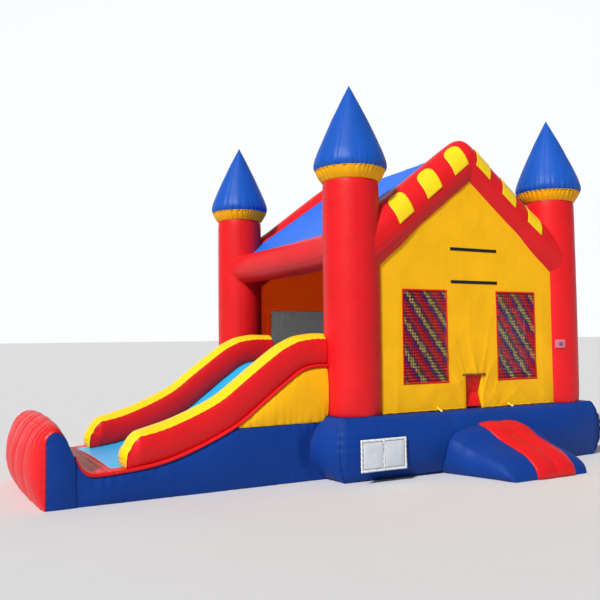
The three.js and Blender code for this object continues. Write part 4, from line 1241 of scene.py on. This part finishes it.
def make_landing():
    """The ribbed red pad at the slide's foot."""
    low, high = bounds_of("landing_pad")
    middle_y, half = middle_and_half(low, high)

    def shape(places):
        px, py, pz = places.T
        x = stretch(px, low[0] + 0.004, high[0] - 0.004)
        z = bed_top(x) - (1 - pz) / 2 * (BED_THICK - 0.002)
        ribs = 0.016 * (np.abs(np.sin((x - low[0]) * math.pi / 0.10)) ** 0.7 - 0.6)
        inside = np.clip((1 - np.abs(py)) * half / 0.05, 0, 1)
        z = z + np.where(at_high(pz), ribs * bulge(px, 0.3) * inside, 0)
        return xyz(x, middle_y + py * (half - 0.003) + outwards(py, 0.012 * bulge(pz) + 0.004), z)

    chamber("landing_pad", (70, 60, 9), shape, red, crowd=0.2, wrinkle=0.0018, seed=25)


def make_stop_wall():
    low, high = bounds_of("stop_wall")
    thick, seam_top, corner = 0.262, 0.685, 0.105
    inner, outer_seam = high[0], high[0] - thick
    middle_y, half = middle_and_half(low, high)
    half = half - 0.012
    swell = outer_seam - low[0]

    def shape(places):
        px, py, pz = places.T
        y = middle_y + py * half
        end_drop = 0.13 * (1 - np.sqrt(np.clip(1 - (np.clip(py - 0.72, 0, None) / 0.28) ** 2, 0, 1)))
        top = seam_top - end_drop
        v = (1 - pz) / 2 * top
        x_in = inner - 0.085 * smoothstep((top - v - 0.36) / 0.30)
        from_side, from_top, a, b, _, _ = rounded_edge((1 - np.abs(px)) * (x_in - outer_seam) / 2, v, corner)
        z = top - from_top
        x = np.where(px < 0, outer_seam + from_side, x_in - from_side)
        ribs = np.abs(np.cos(py * math.pi * 2.5)) ** 0.6
        run = 0.16 + 0.84 * bulge(py, 0.42)
        fold = puckers(y, v, 0.11, 0.020, 0.10, 33) + puckers(y, z, 0.12, 0.014, 0.08, 35)
        out = swell * bulge(pz * 0.93, 0.62) * run * (0.87 + 0.13 * ribs) + fold - 0.004
        crown = 0.10 * bulge(py, 0.35) * (0.84 + 0.16 * ribs)
        on_left, on_top = at_low(px), at_high(pz)
        left = np.where(on_left, 1, np.where(on_top & (px < 0), smoothstep(a), 0)) * (py < 1) * (py > -1)
        x = x - left * out * np.where(on_left & (at_end(py)), 0, 1)
        arch = np.where(on_top, 1, np.where(on_left | (at_high(px)), smoothstep(b), 0))
        z = z + arch * crown * bulge(np.where(px < 0, px * 0.6, px * 0.8), 0.6)
        end = puckers(z, (1 - np.abs(px)) * 0.13, 0.10, 0.010, 0.07, 37) * smoothstep((0.9 - px) / 0.5)
        y = y + outwards(py, (0.004 + 0.016 * bulge(px) * bulge(pz * 0.9) + end))
        return xyz(x, y, z)

    def slots(sides, _):
        return np.isin(sides, (LOW_Y, HIGH_Y)).astype(int)

    places, points = chamber("stop_wall", (40, 130, 46), shape, [red, blue], slots,
                             wrinkle=0.0025, wrinkle_size=0.2, seed=31, hard_ends=(HIGH_X,))
    edges = [(LOW_X, LOW_Y), (LOW_Y, HIGH_Z)]
    settle(ropes("stop_wall_seams", edge_paths(places, points, edges), WELT, seam_red))


def make_steps():
    low, high = bounds_of("climb_steps")
    middle_y, half = middle_and_half(low, high)
    rise, run = (high[2] - low[2]) / 3, (high[0] - low[0]) / 3

    def shape(places):
        px, py, pz = places.T
        x = stretch(px, low[0], high[0])
        into = (high[0] - x) / run
        step = np.floor(np.clip(into, 0, 2.999))
        share = into - step
        tall = rise * (step + smoothstep(share / 0.18)) - 0.02 * np.clip(1 - share / 0.3, 0, 1)
        tall += 0.012 * np.sin(math.pi * np.clip(share, 0, 1)) * bulge(py, 0.5)
        z = low[2] + (pz + 1) / 2 * np.clip(tall, 0.03, None)
        y = middle_y + py * half + outwards(py, 0.012 * bulge(pz))
        seam = puckers(y, np.abs(share - 0.1) * run, 0.09, 0.008, 0.06, 43)
        return xyz(x, y, z + np.where(at_high(pz), seam, 0))

    chamber("climb_steps", (90, 60, 12), shape, spire_blue, crowd=0.1, seed=45)


# ---------------------------------------------------------------- the entry ramp

def make_ramp():
    low, high = bounds_of("ramp_body")
    tread_low, tread_high = bounds_of("ramp_tread")
    root_y, foot_y = high[1], low[1]
    base_low, base_high = bounds_of("base_mattress")
    base_top, front_swell = base_high[2], COLUMN_LOW[1] - base_low[1]
    middle = (low[0] + high[0]) / 2
    seam_half = (high[0] - low[0]) / 2 - 0.0625

    def share_at(py):
        return 1 - ((1 + py) / 2) ** 1.25

    def centre_at(share):
        return middle - 0.0125 + 0.15 * share

    def half_at(share):
        return seam_half - 0.13 * share

    def top_height(share):
        """The height of the slope from the root, where share is 0, to the rolled foot, where it is 1."""
        roll = np.sqrt(np.clip(1 - (np.clip(share - 0.80, 0, None) / 0.20) ** 2, 0, 1))
        slope = tread_high[2] - 0.004 - 0.345 * share + 0.012 * np.sin(math.pi * share)
        return slope * roll ** 0.85 + 0.003

    def dome_at(px):
        return 0.22 * np.clip(1 - np.abs(px) ** 3, 0, 1) ** 0.8 + 0.78

    def place_on(share, px):
        y = root_y + (foot_y + 0.004 - root_y) * share
        return centre_at(share) + px * half_at(share), y, top_height(share) * dome_at(px)

    def pushed(y, z, depth):
        """Keeps the root clear of the swelling front of the house base."""
        free = COLUMN_LOW[1] - front_swell * bulge(2 * z / base_top - 1) - 0.010
        return y + (free - root_y) * smoothstep(depth)

    def shape(places):
        px, py, pz = places.T
        share = share_at(py)
        x, y, top = place_on(share, px)
        tall = np.maximum(top - 0.012, 0.004)
        z = (pz + 1) / 2 * tall
        swell = 0.068 * bulge(pz, 0.6) * np.clip(tall / 0.12, 0, 1)
        fold = puckers(y, (1 - pz) / 2 * tall, 0.085, 0.006, 0.06, 53)
        fold = (fold + puckers(y, (1 + pz) / 2 * tall, 0.10, 0.010, 0.05, 54)) * np.clip(tall / 0.1, 0, 1)
        x = x + outwards(px, (swell + fold))
        return xyz(x, pushed(y, z, (py - 0.1) / 0.9), z)

    places, points = chamber("ramp_body", (70, 90, 24), shape, blue, wrinkle=0.0025,
                             wrinkle_size=0.18, seed=51)
    edges = [(LOW_X, HIGH_Z), (HIGH_X, HIGH_Z)]
    settle(ropes("ramp_seams", edge_paths(places, points, edges), WELT, seam_blue))
    tread_half = (tread_high[0] - tread_low[0]) / 2 - 0.075
    tread_centre = (tread_low[0] + tread_high[0]) / 2 - 0.075

    def tread_shape(places):
        px, py, pz = places.T
        share = share_at(py)
        tread_middle = tread_centre + 0.10 * share
        half = tread_half * (0.97 - 0.12 * share)
        across = (tread_middle + px * half - centre_at(share)) / half_at(share)
        x, y, top = place_on(share, across)
        lobes = np.abs(np.sin(math.pi * px)) ** 0.6
        lift = 0.010 + 0.028 * lobes * bulge(py * 0.97, 0.3) + 0.006 * bulge(px, 0.3)
        middle_away = np.minimum(np.abs(px), 1 - np.abs(px)) * tread_half
        fold = puckers(y, middle_away, 0.07, 0.008, 0.05, 55)
        lift = (pz + 1) / 2 * lift - 0.016 + np.where(at_high(pz), fold, 0)
        facing = smoothstep((share - 0.86) / 0.14)
        z = np.maximum(top + lift * (1 - 0.6 * facing), 0.002)
        return xyz(x, pushed(y, z, (py - 0.1) / 0.9) - (0.018 + lift) * facing, z)

    chamber("ramp_tread", (70, 100, 6), tread_shape, red, crowd=0.1, wrinkle=0.0015, seed=57)


# ---------------------------------------------------------------- small parts

def slab(name, low, high, material, replaced, wave):
    """A thin flat part with rounded edges, dented by wave(points)."""
    counts = [max(2, min(40, int(size / 0.012) + 2)) for size in high - low]
    places, faces, _ = crate([np.linspace(-1, 1, count) for count in counts])
    points = (low + high) / 2 + places * (high - low) / 2
    piece = build(name, points + wave(points), faces, material)
    rounding = piece.modifiers.new("edges", "BEVEL")
    rounding.width = 0.002
    rounding.segments = 2
    rounding.limit_method = "ANGLE"
    return settle(piece, replaced)


def make_pouch():
    """The blank label pocket: a card, two clear windows over it and a bound edge."""
    low, high = bounds_of("label_pouch")
    front = low[1] + 0.008
    middle_x = (low[0] + high[0]) / 2

    def flutter(points):
        return xyz(0, 0.004 * noise(points, 0.12, 61), 0)

    inset = 0.012
    card_low = np.array([low[0] + inset, front - 0.002, low[2] + inset])
    card_high = np.array([high[0] - inset, front + 0.006, high[2] - inset])
    slab("label_card", card_low, card_high, white, ["label_pouch"], wave=flutter)
    margin = 0.03
    for side, x0, x1 in (("left", low[0] + margin, middle_x - inset),
                         ("right", middle_x + inset, high[0] - margin)):
        share_x, share_z = np.meshgrid(np.linspace(0, 1, 30), np.linspace(0, 1, 34))
        puff = np.sin(math.pi * share_x) ** 0.5 * np.clip(np.sin(math.pi * share_z), 0, None) ** 0.5
        points = xyz(x0 + (x1 - x0) * share_x, front - 0.008 - 0.008 * puff,
                     low[2] + margin + (high[2] - low[2] - 2 * margin) * share_z)
        points[:, 1] += 0.0025 * noise(points, 0.06, 63)
        window = build(f"pouch_window_{side}", points, grid_faces(*share_x.shape), clear_front)
        thicken(window, 0.002)
        settle(window)
    edge = 0.011
    frame_lines = {
        "top": ((low[0], high[2] - edge), (high[0], high[2] - edge)),
        "bottom": ((low[0], low[2] + edge), (high[0], low[2] + edge)),
        "left": ((low[0] + edge, low[2]), (low[0] + edge, high[2])),
        "right": ((high[0] - edge, low[2]), (high[0] - edge, high[2])),
        "middle": ((middle_x, low[2]), (middle_x, high[2])),
    }
    for part, ((ax, az), (bx, bz)) in frame_lines.items():
        steps = np.linspace(0, 1, 40)
        path = xyz(ax + (bx - ax) * steps, front - 0.007, az + (bz - az) * steps)
        path[:, 1] += flutter(path)[:, 1] + 0.002 * np.sin(steps * 40)
        across = (0, 0, 1) if part in ("top", "bottom") else (1, 0, 0)
        ribbon(f"pouch_edge_{part}", path, across, 0.013, white, 0.003)


def make_zip():
    """The deflation zip's two tapes and its teeth."""
    low, high = bounds_of("deflation_zip_tape")
    middle_z, y = (low[2] + high[2]) / 2, high[1]
    x = np.linspace(low[0], high[0], 60)
    for part, side in (("lower", -1), ("upper", 1)):
        path = xyz(x, y - 0.001, middle_z + side * 0.012)
        tape = ribbon(f"zip_tape_{part}", path, (0, 0, 1), 0.0095, webbing, 0.002)
    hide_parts("deflation_zip_tape")
    teeth = []
    for number, place in enumerate(np.arange(low[0] + 0.01, high[0] - 0.005, 0.008)):
        side = 1 if number % 2 else -1
        teeth.append(xyz(place, y + 0.0012, middle_z + side * np.array([-0.001, 0.0055])))
    settle(ropes("zip_teeth", teeth, 0.0019, steel, sides=6))


def make_anchors():
    """The anchor rings, bent from wire, and the folded webbing tabs that hold them."""
    for side in ("left", "right"):
        low, high = bounds_of(f"anchor_ring_{side}")
        centre = (low + high) / 2
        half, reach, wire = (high[0] - low[0]) / 2, high[1] - low[1], 0.0034
        turn = np.linspace(0, math.pi, 30)
        bow = xyz((half - wire) * np.cos(turn), (reach - 0.012) * np.sin(turn) + 0.008, 0)
        foot = xyz((half - wire) * np.array([-1, -0.9, 0, 0.9]), np.array([0.008, wire, wire, wire]), 0)
        path = np.concatenate([bow, foot]) + np.array([centre[0], low[1], centre[2]])
        ring = ropes(f"anchor_ring_{side}_wire", [path], wire, steel, sides=12, closed=True)
        settle(ring, [f"anchor_ring_{side}"], f"ring_{side}")
        make_tab(f"anchor_tab_{side}")


def make_tab(name):
    """A strap that runs out, round the ring's wire and back under itself."""
    low, high = bounds_of(name)
    middle_x, half = middle_and_half(low, high, 0)
    top, middle_z = high[2] - 0.0015, high[2] / 2
    upper = xyz(middle_x, low[1] + (high[1] - low[1]) * np.sin(np.linspace(0, 1, 24) * math.pi * 0.5), top)
    turn = np.linspace(math.pi / 2, -math.pi / 2, 12)
    loop = xyz(middle_x, high[1] - 0.009 + 0.008 * np.cos(turn), middle_z + (top - middle_z) * np.sin(turn))
    lower = upper[::-1].copy()
    lower[:, 2] = 0.0025
    path = np.concatenate([upper[:-2], loop, lower[2:]])
    tab = ribbon(f"{name}_webbing", path, (1, 0, 0), half, webbing, 0.0022)
    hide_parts(name)


def squarish(turn, half_x, half_z, power=0.62):
    """The distances from the middle of a ring between an oval and a rectangle."""
    return (half_x * np.sign(np.cos(turn)) * np.abs(np.cos(turn)) ** power,
            half_z * np.sign(np.sin(turn)) * np.abs(np.sin(turn)) ** power)


def make_sleeve():
    """The cloth sleeve between the blower and the base, and the strap that grips it."""
    low, high = bounds_of("inflation_sleeve")
    strap_low, strap_high = bounds_of("sleeve_strap")
    centre, half_x, half_z = (low + high) / 2, (high[0] - low[0]) / 2, (high[2] - low[2]) / 2
    strap_y = (strap_low[1] + strap_high[1]) / 2
    sides = 96
    turn = full_turn(sides)
    ring_x, ring_z = squarish(turn, half_x, half_z)
    rings = []
    for y in np.linspace(low[1] + 0.002, high[1] - 0.002, 110):
        away = abs(y - strap_y)
        soft = xyz(np.cos(turn) * 0.3, y, np.sin(turn) * 0.3)
        gather = puckers(turn * 0.15, max(away - 0.018, 0), 0.035, 0.012, 0.10, 71)
        wave = 0.007 * noise(soft, (0.3, 0.09, 0.3), 73) + 0.004 * noise(soft, (0.12, 0.04, 0.12), 74)
        grip = 0.012 * np.exp(-away / 0.05)
        size = 0.965 - grip + (gather + wave * smoothstep((y - low[1]) / 0.08)) / half_z
        rings.append(xyz(centre[0] + ring_x * size, y, centre[2] + ring_z * size))
    faces = grid_faces(len(rings), sides, closed=True)
    piece = build("inflation_sleeve_cloth", np.concatenate(rings), faces, blue)
    thicken(piece, 0.0015)
    settle_air(piece, ["inflation_sleeve"])
    ring_x, ring_z = squarish(turn, half_x + 0.0035, half_z + 0.0035)
    rows = [xyz(centre[0] + ring_x, strap_y + d, centre[2] + ring_z) for d in np.linspace(-0.018, 0.018, 5)]
    strap = build("sleeve_strap_webbing", np.concatenate(rows), grid_faces(5, sides, closed=True), webbing)
    thicken(strap, 0.003)
    settle(strap, ["sleeve_strap"])


moulded = surface("moulded_plastic", (0.055, 0.075, 0.10), 0.42, 0.1, bumps=((700.0, 0.35, 0.0006),))
impeller_grey = surface("impeller_plastic", (0.10, 0.10, 0.11), 0.38, bumps=((500.0, 0.2, 0.0005),))
motor_metal = surface("motor_paint", (0.20, 0.21, 0.22), 0.38, 0.2, metallic=0.7,
                      bumps=((300.0, 0.25, 0.0006),))
rubber = surface("foot_rubber", (0.018, 0.018, 0.019), 0.82, bumps=((500.0, 0.5, 0.001),))
switch_paint = surface("switch_plastic", (0.62, 0.02, 0.02), 0.3, 0.2, bumps=((400.0, 0.1, 0.0004),))
steel = surface("bright_steel", (0.62, 0.63, 0.65), 0.28, metallic=1.0, bumps=((260.0, 0.2, 0.0005),))


def make_blower():
    """The CAD parts of the blower keep their shapes; screws, a rim and fins are added on them."""
    finishes = {
        moulded: ("blower_housing_left", "blower_housing_right", "blower_inlet_grille", "power_inlet_box",
                  "blower_handle"),
        impeller_grey: ("blower_impeller",), motor_metal: ("blower_motor",),
        rubber: ("blower_foot_left", "blower_foot_right"), switch_paint: ("switch_rocker",),
        steel: ("zip_slider",),
    }
    for material, names in finishes.items():
        for name in names:
            dress(name, material)

    def on_ring(x, centre, radius, turn):
        return xyz(x, centre[1] + radius * np.cos(turn), centre[2] + radius * np.sin(turn))

    turn = full_turn(60)
    low, high = bounds_of("blower_motor")
    radius = (high[2] - low[2]) / 2 + 0.001
    fins = [on_ring(x, (low + high) / 2, radius, turn) for x in np.linspace(low[0] + 0.02, high[0] - 0.03, 9)]
    settle(ropes("motor_fins", fins, 0.0028, motor_metal, closed=True))
    low, high = bounds_of("blower_inlet_grille")
    centre, radius, face = (low + high) / 2, (high[2] - low[2]) / 2 - 0.006, high[0] + 0.001
    rim = on_ring(face, centre, radius, turn)
    settle(ropes("grille_rim", [rim], 0.005, moulded, sides=8, closed=True))
    depths = face + np.array([-0.001, 0.0055, 0.0075])
    heads = [on_ring(depths, centre, radius, angle) for angle in np.arange(6) * math.pi / 3 + 0.2]
    settle(ropes("grille_screws", heads, 0.0055, steel, sides=12))


# ---------------------------------------------------------------- the picture

def make_sky():
    """A plain sky, whiter behind the house than over it."""
    world = bpy.data.worlds.new("sky")
    world.use_nodes = True
    tree = world.node_tree
    background = tree.nodes["Background"]
    towards = add_node(tree, "ShaderNodeVectorMath", operation="DOT_PRODUCT")
    towards.inputs[1].default_value = (0.475, 0.878, -0.35)
    join(add_node(tree, "ShaderNodeTexCoord"), "Generated", towards, 0)
    spread = add_node(tree, "ShaderNodeMapRange", interpolation_type="SMOOTHSTEP", From_Min=0.25,
                      From_Max=0.75, To_Min=SKY_DIM, To_Max=SKY_BRIGHT)
    join(towards, "Value", spread, "Value")
    background.inputs["Color"].default_value = (0.97, 0.985, 1.0, 1)
    join(spread, "Result", background, "Strength")
    return world


def make_stage():
    floor_mesh = bpy.data.meshes.new("floor_plain")
    reach = 900
    corners = [(x * reach, y * reach, 0) for x, y in ((-1, -1), (1, -1), (1, 1), (-1, 1))]
    floor_mesh.from_pydata(corners, [], [(0, 1, 2, 3)])
    floor = bpy.data.objects.new("floor_plain", floor_mesh)
    floor.location.z = -0.002
    bpy.context.scene.collection.objects.link(floor)
    floor_mesh.materials.append(surface("pale_floor", (0.72, 0.72, 0.72), 0.8, mottle=0.01, specular=0.1,
                                        bumps=((30.0, 0.03, 0.002),)))
    bpy.context.scene.world = make_sky()
    data = bpy.data.lights.new("key", "SUN")
    data.energy, data.angle = SUN_STRENGTH, math.radians(7)
    light = bpy.data.objects.new("key", data)
    light.location = (-6, -6, 8)
    light.rotation_euler = (-Vector(SUN_FROM)).to_track_quat("-Z", "Y").to_euler()
    bpy.context.scene.collection.objects.link(light)
    data = bpy.data.cameras.new("camera")
    data.lens = CAMERA_LENS
    data.sensor_width = 36
    data.clip_end = 3000
    camera = bpy.data.objects.new("camera", data)
    yaw, pitch, roll = (math.radians(v) for v in (CAMERA_YAW, CAMERA_PITCH, CAMERA_ROLL))
    camera.matrix_world = (Matrix.Translation(CAMERA_PLACE) @ Matrix.Rotation(-yaw, 4, "Z")
                           @ Matrix.Rotation(math.pi / 2 + pitch, 4, "X") @ Matrix.Rotation(-roll, 4, "Z"))
    bpy.context.scene.collection.objects.link(camera)
    bpy.context.scene.camera = camera
    bpy.context.scene.view_settings.view_transform = "Standard"


make_base()
for number, corner in enumerate(("front_left", "front_right", "rear_left", "rear_right")):
    make_tower(corner, 100 + 10 * number)
make_arch("front_arch", 201)
make_arch("rear_arch", 211)
make_beam("left_beam", 221)
make_beam("right_beam", 231)
make_roof()
make_front()
make_other_walls()
make_slide()
make_steps()
make_ramp()
make_pouch()
make_zip()
make_anchors()
make_sleeve()
make_blower()
make_stage()
